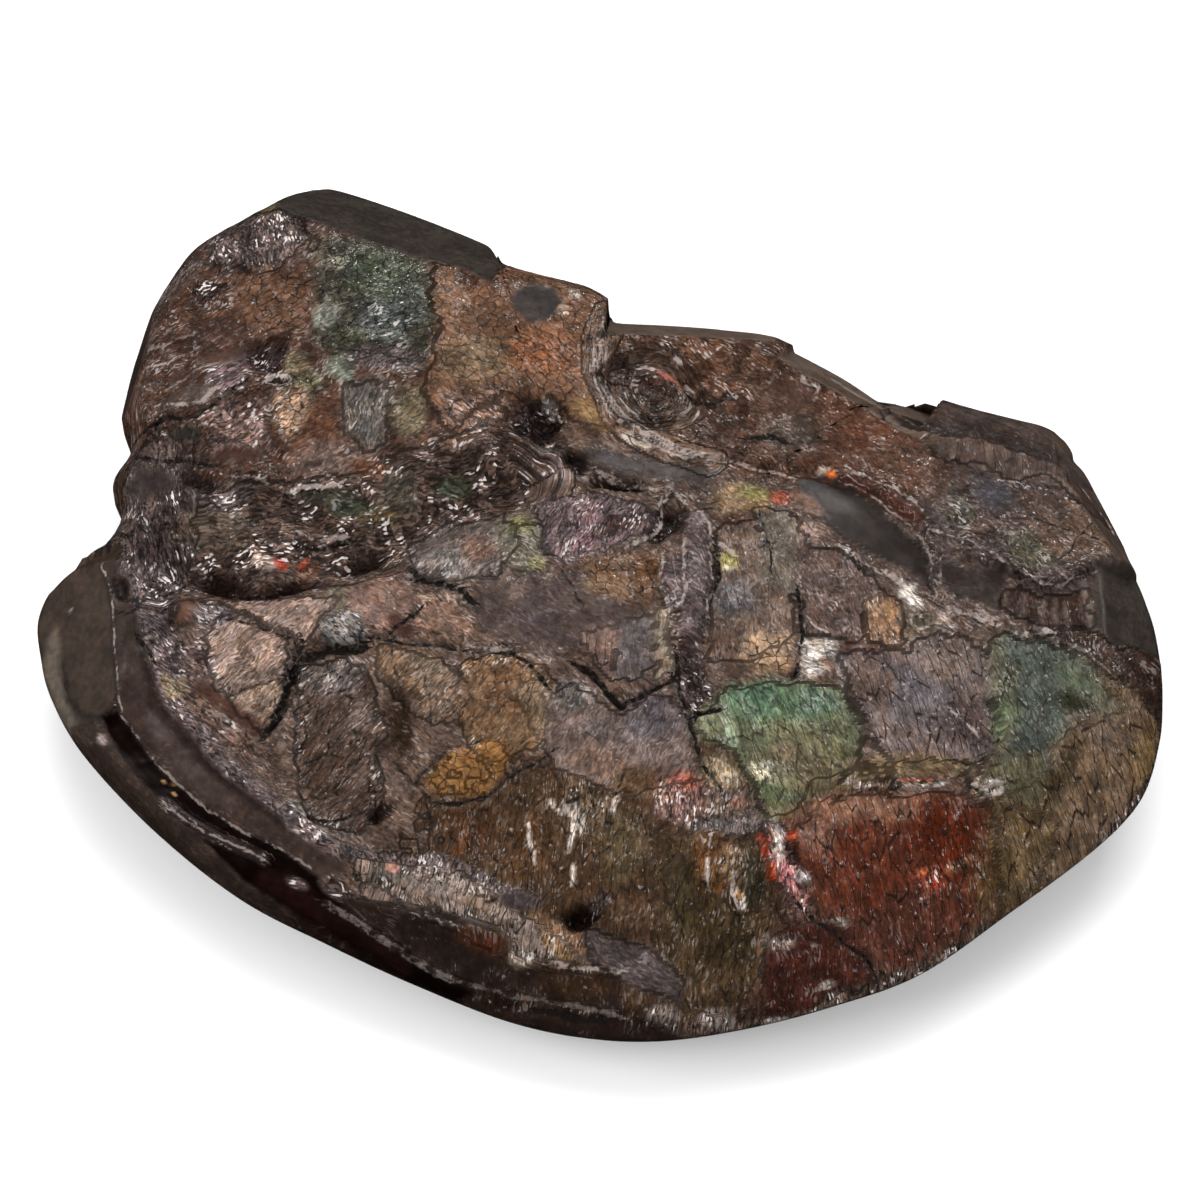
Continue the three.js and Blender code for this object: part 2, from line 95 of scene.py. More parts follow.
def closed_curve(points, steps):
    """Points along a smooth closed curve through the given ones."""
    before, here = np.roll(points, 1, axis=0), np.array(points, float)
    ahead, beyond = np.roll(points, -1, axis=0), np.roll(points, -2, axis=0)
    run = []
    for t in np.arange(steps) / steps:
        run.append(0.5 * (2 * here + (ahead - before) * t
                          + (2 * before - 5 * here + 4 * ahead - beyond) * t ** 2
                          + (3 * here - before - 3 * ahead + beyond) * t ** 3))
    return np.stack(run, axis=1).reshape(-1, 2)


def bearing_of(x, y):
    """Bearing from the middle of the stone, in degrees."""
    return np.degrees(np.arctan2(y - MIDDLE[1], x - MIDDLE[0]))


def rim_reach(bearing):
    """Distance from the middle to the widest line."""
    return np.interp(bearing, rim_bearings, rim_reaches, period=360)


def edge_at(bearing):
    """Height of the widest line, width and roundness of the slope, and tuck of the belly at a bearing."""
    stations = np.array(EDGE, float)
    return [np.interp(bearing, stations[:, 0], stations[:, column], period=360) for column in (1, 2, 4, 3)]


rim_curve = closed_curve(RIM, CURVE_STEPS)
rim_bearings = bearing_of(rim_curve[:, 0], rim_curve[:, 1])
rim_reaches = np.hypot(rim_curve[:, 0] - MIDDLE[0], rim_curve[:, 1] - MIDDLE[1])

# The face is a grid drawn out to the outline. The belly is its edge, extruded down ring by ring.
shape = bmesh.new()
bmesh.ops.create_grid(shape, x_segments=FACE_STEPS, y_segments=FACE_STEPS, size=1)
for corner in shape.verts:
    u, v = corner.co.x, corner.co.y
    across, back = u * math.sqrt(1 - v * v / 2), v * math.sqrt(1 - u * u / 2)
    reach = rim_reach(math.degrees(math.atan2(back, across)))
    corner.co = (MIDDLE[0] + reach * across, MIDDLE[1] + reach * back, 0)
face_corners = len(shape.verts)
ring_edges = [edge for edge in shape.edges if edge.is_boundary]
for ring in range(1, BELLY_RINGS + 1):
    turned = BELLY_TURN * ring / BELLY_RINGS
    grown = bmesh.ops.extrude_edge_only(shape, edges=ring_edges)["geom"]
    ring_edges = [part for part in grown if isinstance(part, bmesh.types.BMEdge)]
    for corner in (part for part in grown if isinstance(part, bmesh.types.BMVert)):
        bearing = float(bearing_of(corner.co.x, corner.co.y))
        height, _, _, tuck = edge_at(bearing)
        reach = rim_reach(bearing) - tuck * (1 - math.cos(turned)) / (1 - math.cos(BELLY_TURN))
        corner.co = (MIDDLE[0] + reach * math.cos(math.radians(bearing)),
                     MIDDLE[1] + reach * math.sin(math.radians(bearing)),
                     height * (1 - math.sin(turned) / math.sin(BELLY_TURN)))
bmesh.ops.contextual_create(shape, geom=ring_edges)
bmesh.ops.recalc_face_normals(shape, faces=shape.faces)
slab_mesh = bpy.data.meshes.new("ammolite_stone")
shape.to_mesh(slab_mesh)
shape.free()
corners = np.empty(len(slab_mesh.vertices) * 3)
slab_mesh.vertices.foreach_get("co", corners)
corners = corners.reshape(-1, 3)
x, y = corners[:face_corners, 0], corners[:face_corners, 1]


# ---- The lump: broad mounds, valleys and ridges ----
# The shell lies over a high lobe at the back left and a gentle swell in front of it. A valley parts them,
# and a smooth band with a polished trough below it follows the front left edge.
FACE_LEVEL = 20.5
# Place, half width along and across, turn in degrees, lift.
SWELLS = [
    ((-28, 26), (25, 22), 0, 5.4), ((-8, 27), (14, 13), 0, 0.8), ((-8, -10), (30, 15), -10, 1.6),
    ((36, -14), (26, 15), -15, 0.8), ((-10, -17.5), (6, 4.5), -15, 1.3), ((-40, 3), (13, 5), 5, -2.6),
    ((-14, 6), (14, 4.5), 22, -1.8), ((14, 21), (18, 9), -20, -2.6), ((50, 10), (14, 10), -20, 0.5),
    ((-36, -26), (26, 8), -30, -2),
]
# Route, half width, lift.
FURROWS = [
    ([(-50, 0), (-38, -3), (-31, -1), (-25, 0.5), (-19, 5), (-13, 8), (-8, 10), (-6, 17)], 2.8, -3),
    ([(-54, -19), (-46, -28.5), (-33, -37), (-16, -44.5), (-6, -47.5)], 3, -3),
    ([(-52.5, -3), (-49.5, -10.5), (-43, -22), (-33.5, -30.5), (-20, -38.5), (-5, -43)], 1.8, 1.1),
    ([(10, 5), (10.5, -3), (10, -10)], 1.8, 0.9),
    ([(-49.5, 17.5), (-45, 16.5), (-39.5, 20)], 1.8, 1),
    ([(-40, 9.5), (-35, 8), (-27, 8)], 1.8, 1.2),
    ([(23, 11.5), (28.5, 8), (33, 3.5), (37, -3)], 3, -0.7),
]


def turned_offset(px, py, at, turn):
    """Offset from a place, along and across a direction."""
    c, s = math.cos(math.radians(turn)), math.sin(math.radians(turn))
    return (px - at[0]) * c + (py - at[1]) * s, (py - at[1]) * c - (px - at[0]) * s


def route_distance(px, py, route):
    """How far each point lies from a route of straight legs."""
    nearest = np.full(px.shape, np.inf)
    for (ax, ay), (bx, by) in zip(route, route[1:]):
        leg = np.array([bx - ax, by - ay])
        share = np.clip(((px - ax) * leg[0] + (py - ay) * leg[1]) / leg.dot(leg), 0, 1)
        nearest = np.minimum(nearest, np.hypot(px - ax - share * leg[0], py - ay - share * leg[1]))
    return nearest


z = np.full(x.shape, FACE_LEVEL)
for at, size, turn, lift in SWELLS:
    along, across = turned_offset(x, y, at, turn)
    z += lift * np.exp(-(along / size[0]) ** 2 - (across / size[1]) ** 2)
for route, width, lift in FURROWS:
    z += lift * np.exp(-(route_distance(x, y, route) / width) ** 2)


# ---- Broken shell: how it is laid ----
# The ammonite shell was crushed flat in the shale. Its nacre broke into plates that stand up to two
# millimetres over each other, with open cracks, hollows painted dark as shade, and crumpled scraps of shell
# between them. Torn edges and many small flecks are painted light as highlights.
# Each call below shapes one of them and gives it its colour and finish.
rng = np.random.default_rng(7)
cloud_table = rng.random((256, 256)) * 2 - 1
# A distance that stands for out of reach.
FAR = 50.0
# Share of its named colour that the shell reflects.
SHADE = 0.64
# How far borders wander and fray, and over what length.
WANDER, WANDER_LENGTH = 0.5, 3.6
FRAY, FRAY_LENGTH = 0.14, 1.2
# Width over which a broken edge rises, a patch of colour begins, and a plate's colour begins.
EDGE_SOFT, PATCH_SOFT, PLATE_SOFT = 0.5, 1.4, 1.5
# Share of its named lift that a plate has at its proudest corner.
PLATE_LIFT = 0.7
# The dark line round a plate: how far outside it lies, its half width, and how dark it is.
RIM_OUT, RIM_WIDTH, RIM_DARK = 0.15, 0.09, 0.35
# A plate is crumpled over a band inside its border, of this half width.
CRUMPLED_BAND = 0.5
# Least half width of a crack in the mesh, and share of its depth that the mesh takes.
CRACK_WIDTH, CRACK_SHARE = 0.3, 0.45
# How far a torn edge fades back, its crumpled half width, and the offset and half width of the painted shade
# in the gap under it.
TORN_FADE, TORN_BAND, TORN_SHADE_OFFSET, TORN_SHADE_WIDTH = 0.9, 0.6, 0.24, 0.13
# Distances to the nearest line are stored up to this reach, and lines are at least this wide.
LINE_REACH, LEAST_WIDTH = 4.0, 0.1
# How far round a line its strength is stored, and over what width it ends.
LINE_HALO, LINE_SOFT = 0.8, 0.6
# How far outside an outline corners are still measured.
OUTLINE_MARGIN = 5


def cloud(px, py, size, shift=0.0):
    """Smooth random hills and dips between -1 and 1, about size apart."""
    u, v = px / size + 31.7 * shift + 90, py / size + 17.3 * shift + 90
    i, j = np.floor(u).astype(int), np.floor(v).astype(int)
    f, g = u - i, v - j
    f, g = f * f * (3 - 2 * f), g * g * (3 - 2 * g)
    i, j, i_next, j_next = i % 256, j % 256, (i + 1) % 256, (j + 1) % 256
    near = cloud_table[i, j] * (1 - f) + cloud_table[i_next, j] * f
    far = cloud_table[i, j_next] * (1 - f) + cloud_table[i_next, j_next] * f
    return near * (1 - g) + far * g


def rugged(px, py, size, shift=0.0):
    """Folds between -1 and 1: sharp crests with finer ones on them."""
    folds = 1 - 2 * np.abs(cloud(px, py, size, shift))
    finer = 1 - 2 * np.abs(cloud(px, py, size * 0.47, shift + 1))
    return 0.62 * folds + 0.38 * finer


# Every shape is looked up at a slightly shifted place, but not where the edge was lapped.
LAPPED = [(-60, 4), (-57, -10), (-50, -22), (-40, -31), (-25, -40), (-8, -46), (3, -49)]
unlapped = np.clip(route_distance(x, y, LAPPED) / 3 - 1.4, 0.12, 1)
ragged_x = x + unlapped * (WANDER * cloud(x, y, WANDER_LENGTH, 2) + FRAY * cloud(x, y, FRAY_LENGTH, 3))
ragged_y = y + unlapped * (WANDER * cloud(x, y, WANDER_LENGTH, 4) + FRAY * cloud(x, y, FRAY_LENGTH, 5))
crumbling = unlapped * (0.3 * cloud(x, y, 1.9, 20) + 0.4 * cloud(x, y, 0.9, 21))

# What each corner of the face is given: its colour, its shares of crackle, growth lines, foil-like wrinkles
# and polish, its place across and along the growth of the shell, and the nearest crack and torn edge.
tint = np.zeros((face_corners, 3))
crackle, streaks, foil, polish = (np.zeros(x.shape) for _ in range(4))
grain_across, grain_along = x.copy(), y.copy()
line_gap, line_width, line_dark = (np.full(x.shape, fill) for fill in (LINE_REACH, LEAST_WIDTH, 0.0))
seam_gap, seam_width, seam_light = (np.full(x.shape, fill) for fill in (LINE_REACH, LEAST_WIDTH, 0.0))
crack_and_shade_lines = (line_gap, line_width, line_dark)
torn_highlight_lines = (seam_gap, seam_width, seam_light)


def srgb(red, green, blue):
    """A display colour as the share of the light that it reflects."""
    return SHADE * (np.array([red, green, blue]) / 255) ** 2.2


def step_up(depth, soft):
    """From 0 outside to 1 inside a border, over a width."""
    share = np.clip(depth / soft + 0.5, 0, 1)
    return share * share * (3 - 2 * share)


def corners_near(route, margin):
    """Which corners of the face lie in the box round a route."""
    low, high = np.min(route, axis=0) - margin, np.max(route, axis=0) + margin
    return np.flatnonzero((ragged_x > low[0]) & (ragged_x < high[0])
                          & (ragged_y > low[1]) & (ragged_y < high[1]))


def depth_inside(outline):
    """How far each corner lies inside a closed outline, negative outside it."""
    depth = np.full(x.shape, -FAR)
    near = corners_near(outline, OUTLINE_MARGIN)
    px, py = ragged_x[near], ragged_y[near]
    inside = np.zeros(px.shape, bool)
    for (ax, ay), (bx, by) in zip(outline, outline[1:] + outline[:1]):
        crosses = (ay > py) != (by > py)
        inside ^= crosses & (px < (bx - ax) * (py - ay) / (by - ay + 1e-9) + ax)
    gap = route_distance(px, py, outline + outline[:1])
    depth[near] = np.where(inside, gap, -gap)
    return depth


def side_of(route, margin=6):
    """Distance from a route, positive on its left, and how far along it the nearest point lies."""
    gap, along = np.full(x.shape, FAR), np.zeros(x.shape)
    near = corners_near(route, margin)
    px, py = ragged_x[near], ragged_y[near]
    best, best_along, start = np.full(px.shape, FAR), np.zeros(px.shape), 0.0
    for (ax, ay), (bx, by) in zip(route, route[1:]):
        leg_x, leg_y = bx - ax, by - ay
        length = math.hypot(leg_x, leg_y)
        share = np.clip(((px - ax) * leg_x + (py - ay) * leg_y) / length ** 2, 0, 1)
        off_x, off_y = px - ax - share * leg_x, py - ay - share * leg_y
        reach = np.hypot(off_x, off_y)
        closer = reach < np.abs(best)
        best = np.where(closer, np.where(leg_x * off_y > leg_y * off_x, reach, -reach), best)
        best_along = np.where(closer, start + share * length, best_along)
        start += length
    gap[near], along[near] = best, best_along
    return gap, along


def oval(at, size, turn, soft):
    """Cover of an oval with a ragged border, 1 inside it; soft is a share of its size."""
    along, across = turned_offset(ragged_x, ragged_y, at, turn)
    return step_up(1 - np.hypot(along / size[0], across / size[1]) + 0.35 * crumbling, soft)


def strip(route, width, soft):
    """Cover of a band along a route, of a half width."""
    gap, _ = side_of(route, width + 4)
    return step_up(1 - np.abs(gap) / width, soft)


def paint(cover, colour, cracked=None, lined=None, foiled=None, polished=None, grain=None):
    """Lay a colour and a finish: shares of crackle, growth lines, foil wrinkles and polish, and the bearing
    across the growth lines."""
    if colour is not None:
        tint[:] += (srgb(*colour) - tint) * cover[:, None]
    for layer, value in ((crackle, cracked), (streaks, lined), (foil, foiled), (polish, polished)):
        if value is not None:
            layer += (value - layer) * cover
    if grain is not None:
        along, across = turned_offset(x, y, (0, 0), grain)
        grain_across[:] = np.where(cover > 0.5, across, grain_across)
        grain_along[:] = np.where(cover > 0.5, along, grain_along)


def draw_line(gap, width, strength, lines):
    """Note a thin line where a signed distance is 0, if it is nearer than the lines noted so far."""
    closer = np.abs(gap) - width < np.abs(lines[0]) - lines[1]
    strengths = strength * step_up(width + LINE_HALO - np.abs(gap), LINE_SOFT)
    for layer, value in zip(lines, (np.clip(gap, -LINE_REACH, LINE_REACH), width, strengths)):
        layer[:] = np.where(closer, value, layer)


def spot(at, size, turn, soft, colour, strength=1, **finish):
    """An oval of colour with a ragged border."""
    paint(oval(at, size, turn, soft) * strength, colour, **finish)


def stroke(route, width, soft, colour, strength=1, **finish):
    """A band of colour along a route, of a half width."""
    paint(strip(route, width, soft) * strength, colour, **finish)


def patch(outline, colour, soft=1.0, **finish):
    """A patch of colour with a soft, ragged border."""
    paint(step_up(depth_inside(outline) + crumbling, PATCH_SOFT * soft), colour, **finish)


def plate(outline, lift, faces, colour, soft=0.9, edge=0.7, **finish):
    """A plate of shell: proud by lift at the edge that faces a bearing, and flush on the other side."""
    depth = depth_inside(outline)
    toward = np.array([math.cos(math.radians(faces)), math.sin(math.radians(faces))])
    reach = np.array(outline, float) @ toward
    share = np.clip((x * toward[0] + y * toward[1] - reach.min()) / np.ptp(reach), 0, 1)
    z[:] += step_up(depth, EDGE_SOFT) * lift * share * share * PLATE_LIFT
    draw_line(depth + RIM_OUT, RIM_WIDTH, edge * RIM_DARK, crack_and_shade_lines)
    paint(step_up(depth + crumbling, PLATE_SOFT * soft), colour, **finish)
    paint(step_up(CRUMPLED_BAND - np.abs(depth - CRUMPLED_BAND) + crumbling, 0.4) * 0.8, None, foiled=0.9)


def ledge(route, lift, fade):
    """A broken edge: the ground on the left of the route stands over that on its right, and fades back."""
    gap, _ = side_of(route, fade * 3 + 2)
    z[:] += lift * step_up(gap, EDGE_SOFT) * np.exp(-np.clip(gap, 0, FAR) / fade) * (gap < FAR - 1)


def crack(route, width, depth, dark=1.0):
    """An open crack of a half width, dark inside, and darker if it is wide."""
    gap, _ = side_of(route)
    z[:] -= CRACK_SHARE * depth * np.exp(-(gap / max(width, CRACK_WIDTH)) ** 2)
    draw_line(gap, width, dark * (1 + 2 * width), crack_and_shade_lines)


def hollow(at, size, turn, depth, colour=(30, 19, 15), foiled=0.3):
    """A hollow with a rough border, painted dark inside as shade."""
    cover = oval(at, size, turn, 0.8)
    z[:] -= depth * cover
    # Painted shade: the hollow is coloured dark.
    paint(cover * 0.95, colour, cracked=0, lined=0, foiled=foiled)


def seam(route, width, lift, light=1.0):
    """Torn edge of a layer: a painted highlight along it, and painted shade in the gap on its right."""
    gap, _ = side_of(route)
    z[:] += lift * step_up(gap, EDGE_SOFT) * np.exp(-np.abs(gap) / TORN_FADE)
    paint(step_up(TORN_BAND - np.abs(gap) + crumbling, 0.5) * light * 0.65, None, foiled=1.0)
    # Painted highlight along the torn edge.
    draw_line(gap, width, light, torn_highlight_lines)
    # Painted shade: a dark line in the gap under the edge.
    draw_line(gap + width + TORN_SHADE_OFFSET, TORN_SHADE_WIDTH, 0.6 * light, crack_and_shade_lines)


def grain_follows(route, cover):
    """Growth lines that run along a route."""
    gap, along = side_of(route, 12)
    chosen = (cover > 0.4) & (gap < FAR - 1)
    grain_across[chosen], grain_along[chosen] = gap[chosen], along[chosen]


# The ground under every plate.
paint(np.ones(x.shape), (98, 80, 71), cracked=0.2, lined=0.3, foiled=0.3, polished=0, grain=-35)
spot((-36, 27), (30, 26), 0, 0.5, (80, 58, 48), foiled=0.4, lined=0.1, grain=32)
spot((18, 22), (24, 11), -18, 0.6, (86, 62, 50), foiled=0.55, cracked=0, lined=0.1)
spot((32, 14), (14, 6), -25, 0.6, (88, 62, 50), foiled=0.2, cracked=0.1, lined=0.1)
spot((8, -38), (30, 18), 0, 0.4, (76, 57, 42), lined=0.8, foiled=0.1, grain=82)
spot((36, -44), (22, 12), 32, 0.4, (88, 64, 54), lined=1.0, foiled=0.08, grain=104)
spot((56, -26), (15, 15), 0, 0.4, (116, 95, 76), lined=1.0, foiled=0.06, grain=116)
spot((48, 3), (16, 11), -25, 0.5, (84, 70, 66), foiled=0.12, cracked=0.2, lined=0.1)


# ---- Broken shell: the high lobe at the back left ----
# The shell over the lobe is crackled like old glaze, green and brown, with crumpled whitish scraps at its
# top.
spot((-39.5, 44.8), (6, 2.6), 24, 0.7, (92, 80, 48), foiled=0.25)
spot((-39.5, 40), (6.3, 4.6), 0, 0.5, (86, 72, 69), foiled=1.0, cracked=0, lined=0.3, grain=104)
spot((-36.5, 39), (2.8, 3.2), 20, 0.7, (120, 102, 98))
spot((-32.6, 38.8), (1.7, 2), 0, 0.5, (108, 94, 84), foiled=0.3)
spot((-50, 34), (3.5, 6), -15, 0.7, (76, 62, 58), foiled=0.5)
spot((-46, 30), (5, 4.4), 0, 0.7, (84, 60, 48), foiled=0.4, cracked=0.5)
patch([(-42.5, 34.6), (-38, 36.2), (-33, 35), (-31.8, 31), (-32.6, 27.5), (-36, 26.4), (-41.5, 27)],
      (104, 76, 60), 1.6, cracked=1.0, foiled=0.1, lined=0)
spot((-45, 33.2), (2.2, 1.1), 10, 0.6, (62, 48, 44), foiled=1.0)
spot((-46, 27), (6, 2), 8, 0.7, (74, 52, 44), foiled=0.15, polished=0.2)
spot((-47.6, 21.6), (2.2, 0.9), 10, 0.5, (72, 46, 38), foiled=0, polished=0.7)
spot((-42.6, 24.2), (3.4, 1), 8, 0.5, (82, 58, 48), foiled=0, polished=0.7)
seam([(-51, 23.6), (-47.5, 25), (-44, 26.6)], 0.16, 0.3, 0.4)
seam([(-52, 25.6), (-47.5, 27.6), (-43.5, 28.6)], 0.14, 0.3, 0.3)
seam([(-49.5, 20.2), (-45.5, 22.6), (-43.8, 23.6)], 0.14, 0.25, 0.4)
patch([(-33, 37.5), (-31, 40), (-26.5, 39.3), (-19.5, 34.8), (-17.9, 32), (-18, 25.6), (-20, 22.8),
       (-25, 24.4), (-28.8, 22.8), (-32.4, 25.6)], (72, 70, 60), 1.6, cracked=1.0, foiled=0.35, lined=0)
spot((-24.6, 34.2), (4.6, 3.8), -20, 1.0, (74, 82, 66))
spot((-19.8, 31), (2.2, 4), 0, 1.0, (80, 84, 74))
spot((-23.6, 28.6), (3.8, 2.6), 0, 0.9, (78, 84, 82), foiled=0.7)
spot((-31.4, 28.6), (1.7, 1.5), 0, 0.5, (122, 122, 112), cracked=0.3)
spot((-30.2, 36.4), (1.2, 0.8), 0, 0.5, (150, 148, 130), foiled=1.0)
spot((-28, 25), (2.2, 1.8), 0, 0.8, (66, 68, 52))
spot((-29, 22), (1.6, 1.5), 0, 0.5, (104, 108, 96))
spot((-24, 23.4), (4, 1.6), 0, 0.8, (106, 94, 94), foiled=0.6)
spot((-33, 20.4), (1.9, 1.5), 0, 0.7, (104, 98, 76), cracked=0.7)
spot((-34.6, 22.6), (1.6, 1.2), 0, 0.7, (122, 108, 86))
plate([(-36.5, 18.8), (-34, 19.4), (-32.2, 17.5), (-32.4, 14.8), (-34.8, 14), (-36.4, 15.5)], 0.7, -60,
      (154, 124, 102), cracked=1.0, foiled=0.3, lined=0)
patch([(-33.6, 16), (-30, 19.5), (-28.6, 15), (-27, 10.5), (-31, 9), (-35, 11.5)], (100, 68, 52), 1.6,
      foiled=0.2, cracked=0.1)
patch([(-28.8, 19.9), (-26, 20.8), (-23.4, 19.4), (-23.6, 13.5), (-26.6, 12), (-28.6, 15)], (106, 99, 94),
      2.0, foiled=0.5, cracked=0.1, lined=0.1, grain=80)
spot((-21.4, 17.4), (1.9, 3), 0, 0.8, (122, 110, 88), foiled=0.35, cracked=0.5)
spot((-29.6, 11), (4.6, 2.7), 0, 0.8, (112, 92, 84), foiled=0.35, cracked=0.2)
plate([(-45, 23), (-41, 23.8), (-39.6, 21), (-40.2, 18.8), (-44.3, 19.4)], 0.7, -90, (124, 104, 104),
      foiled=0.9, cracked=0)
plate([(-44.6, 16.6), (-42, 18), (-37.3, 18.4), (-36.6, 12.7), (-43.4, 12.6)], 0.7, -80, (122, 98, 92),
      foiled=0.8, cracked=0.2)
spot((-41.2, 12), (2.8, 0.9), 2, 0.5, (78, 52, 42), foiled=0, polished=0.7)
spot((-46.8, 14.6), (1.4, 1), 0, 0.6, (84, 82, 72), foiled=0.1, polished=0.5)
spot((-46.5, 19), (3.3, 1.1), 12, 0.5, (80, 66, 60), foiled=0.1, polished=0.5)
seam([(-49.6, 18.2), (-46, 18.2), (-43.2, 19.6)], 0.22, 0.3, 0.7)
crack([(-55, 14.6), (-51.5, 15.4), (-48.7, 16.6), (-45.4, 16.6), (-42.8, 18.2), (-39.6, 20.4)], 0.24, 0.8)
crack([(-52.5, 12.2), (-47, 11.4), (-43.6, 11.4)], 0.2, 0.6, 0.8)
crack([(-31.8, 25.4), (-28, 24), (-25, 24.2), (-20.5, 22.4)], 0.13, 0.3, 0.7)
hollow((-37.9, 23.6), (2.2, 1.9), 0, 1.6, (52, 40, 42), 0.9)
hollow((-36.2, 20.6), (1.2, 0.6), 8, 0.6, (60, 46, 38), 0.1)
seam([(-37.6, 20.2), (-36.9, 21.2), (-35.3, 21.3), (-34.8, 20.6), (-35.8, 19.9), (-37.6, 20.2)], 0.16, 0.2)
patch([(-19.4, 36.6), (-11.4, 37.4), (-4.4, 36.4), (0.4, 33.6), (0.8, 29.5), (-0.3, 25), (0.6, 21),
       (3.4, 17.4), (-2.6, 16.4), (-5, 19.5), (-11, 19.5), (-17.6, 14), (-19.4, 20), (-18.4, 27.6)],
      (122, 90, 70), 1.4, cracked=0.8, foiled=0.12, lined=0.1, grain=150)
copper_rise = [(-14, 36), (0.6, 34), (1, 29.5), (-0.1, 24.5), (1, 21), (4, 17.2), (-2.5, 17), (-6, 22),
               (-12, 28)]
z += 1.2 * step_up(depth_inside(copper_rise), 4)
spot((-13.4, 34.6), (4, 1.6), -10, 0.8, (92, 64, 50))
spot((-13.5, 24), (4.4, 3), 0, 0.9, (118, 96, 74))
spot((-6, 25.2), (4, 3.2), 0, 1.0, (140, 94, 68), foiled=0.35)
spot((-6.2, 24.6), (1.8, 1.3), 0, 1.0, (146, 94, 66))
spot((-7, 31.5), (2.9, 2.4), 0, 0.5, (60, 53, 51), cracked=0, lined=0, foiled=0, polished=0.8)
spot((-3, 32.9), (0.9, 0.6), -30, 0.6, (205, 188, 172), foiled=0.4)
spot((-4, 30.4), (0.8, 0.7), -30, 0.6, (200, 172, 154), foiled=0.4)
seam([(-10.4, 29.4), (-10.3, 27.8), (-9.4, 26.6), (-8.4, 26.4)], 0.2, 0.2, 0.6)
spot((0, 17.9), (3.4, 1.3), -20, 0.7, (156, 124, 88), foiled=0.1, cracked=0.1)
patch([(-17.4, 19.4), (-11, 20), (-10, 16.4), (-14, 14.6), (-18.4, 15)], (134, 106, 92), 1.4, foiled=0.7)
spot((-14.8, 12.2), (3.4, 2.4), 0, 0.6, (116, 82, 62), foiled=0.1, cracked=0.25)
spot((-8.9, 12.2), (1.6, 1), 20, 0.6, (118, 92, 64), foiled=0.3)
hollow((-6.4, 17.4), (2.8, 2.2), 10, 1.8, (58, 46, 46), 1.0)
# Painted glints round the hollow.
spot((-6, 15.4), (1.2, 0.6), 0, 0.6, (232, 222, 216), foiled=1.0)
spot((-5.4, 19.2), (0.9, 0.35), -20, 0.6, (205, 195, 188), foiled=1.0)
spot((-5.9, 12.9), (1, 0.5), 10, 0.6, (196, 184, 178), foiled=1.0)

# The wrinkled edge of the lobe's layer, which runs down to the right.
lobe_edge = [(1.6, 31.5), (0.2, 27), (0.1, 24), (0.7, 21), (2.6, 18.4), (5, 16.2), (8.4, 14.4), (13, 13)]
edge_cover = strip(lobe_edge, 1.8, 0.6)
paint(edge_cover, (112, 88, 74), cracked=0, lined=1.0, foiled=0.1, polished=0)
grain_follows(lobe_edge, edge_cover)
for shift, light in ((-0.55, 0.75), (0.15, 0.9), (0.8, 0.6)):
    seam([(px + shift, py + shift * 0.5) for px, py in lobe_edge], 0.15, 0.35, light)
spot((4.6, 15.4), (1.5, 0.4), -24, 0.5, (226, 208, 196), foiled=0.2)


# ---- Broken shell: the valley and the dark band ----
# A valley of crumpled, dark shell parts the lobe from the plates in front. Behind it a layer is polished
# smooth.
valley = [(-51, -0.5), (-44, 2.5), (-38, 3), (-31, 2.8), (-25, 3.5), (-20, 6.5), (-14, 8.8), (-8.5, 10.5)]
valley_cover = strip(valley, 5.6, 0.8)
paint(valley_cover, (92, 75, 68), cracked=0, lined=0.1, foiled=0.95, polished=0)
grain_follows(valley, valley_cover)
spot((-50, 5), (5, 10), -10, 0.6, (90, 76, 72), cracked=0, lined=0.1, foiled=1.0, polished=0, grain=100)
spot((-50.5, 9.4), (2.4, 1.6), 0, 0.6, (62, 52, 50), foiled=0.1, polished=0.4)
spot((-43, 4.6), (3.4, 2.6), 0, 0.8, (104, 90, 80), foiled=0.6)
spot((-42.5, 8), (3.5, 1.6), 0, 0.8, (112, 98, 96), foiled=1.0)
spot((-29.5, 6.6), (4, 1), -4, 0.7, (72, 68, 60), foiled=0.2)
spot((-22.5, 7.6), (2.2, 2), 0, 0.8, (92, 84, 74), foiled=0.5)
spot((-27, 5.6), (3.4, 0.8), 0, 0.7, (66, 70, 56), foiled=0.5)
spot((-16.4, 9.2), (2.2, 1), 20, 0.7, (78, 82, 68), foiled=0.6)
spot((-24.4, 5), (2, 1), 10, 0.8, (92, 80, 60))
spot((-26, 10), (2, 1.2), 0, 0.8, (122, 82, 58))
seam([(-40.4, 9.6), (-37.6, 8.8), (-34.4, 7.7), (-30.4, 7.6), (-28.6, 8.2)], 0.18, 0.5, 0.9)
seam([(-34, 3.4), (-31.5, 2.6), (-28.5, 2.9)], 0.2, 0.4, 0.8)
crack([(-34.5, 1.9), (-31, 2), (-28, 2.4)], 0.25, 0.5, 0.8)
hollow((-42.4, -1.4), (2.7, 1.4), -24, 1.8, (34, 22, 16), 0.05)
hollow((-36, -2.6), (4.4, 0.8), 9, 1.6, (36, 24, 20), 0.3)
hollow((-27, 0.3), (3.4, 0.7), 4, 1.0, (34, 24, 22), 0.6)
hollow((-44.5, 9.2), (3, 0.7), -6, 0.8, (40, 27, 23), 0.1)
spot((-37.6, 0.6), (1.3, 0.7), -25, 0.9, (176, 158, 150), foiled=1.0)
spot((-35.9, 0.2), (0.8, 0.4), -42, 0.8, (184, 62, 42), foiled=0.4)
spot((-33.4, 0.4), (0.7, 0.35), 35, 0.8, (200, 96, 70), foiled=0.4)
spot((-32.6, -0.4), (1.6, 0.6), 30, 0.8, (128, 96, 84), foiled=0.8)
z += 1.0 * oval((-46.3, -6.1), (1.9, 1.7), 0, 1.0)
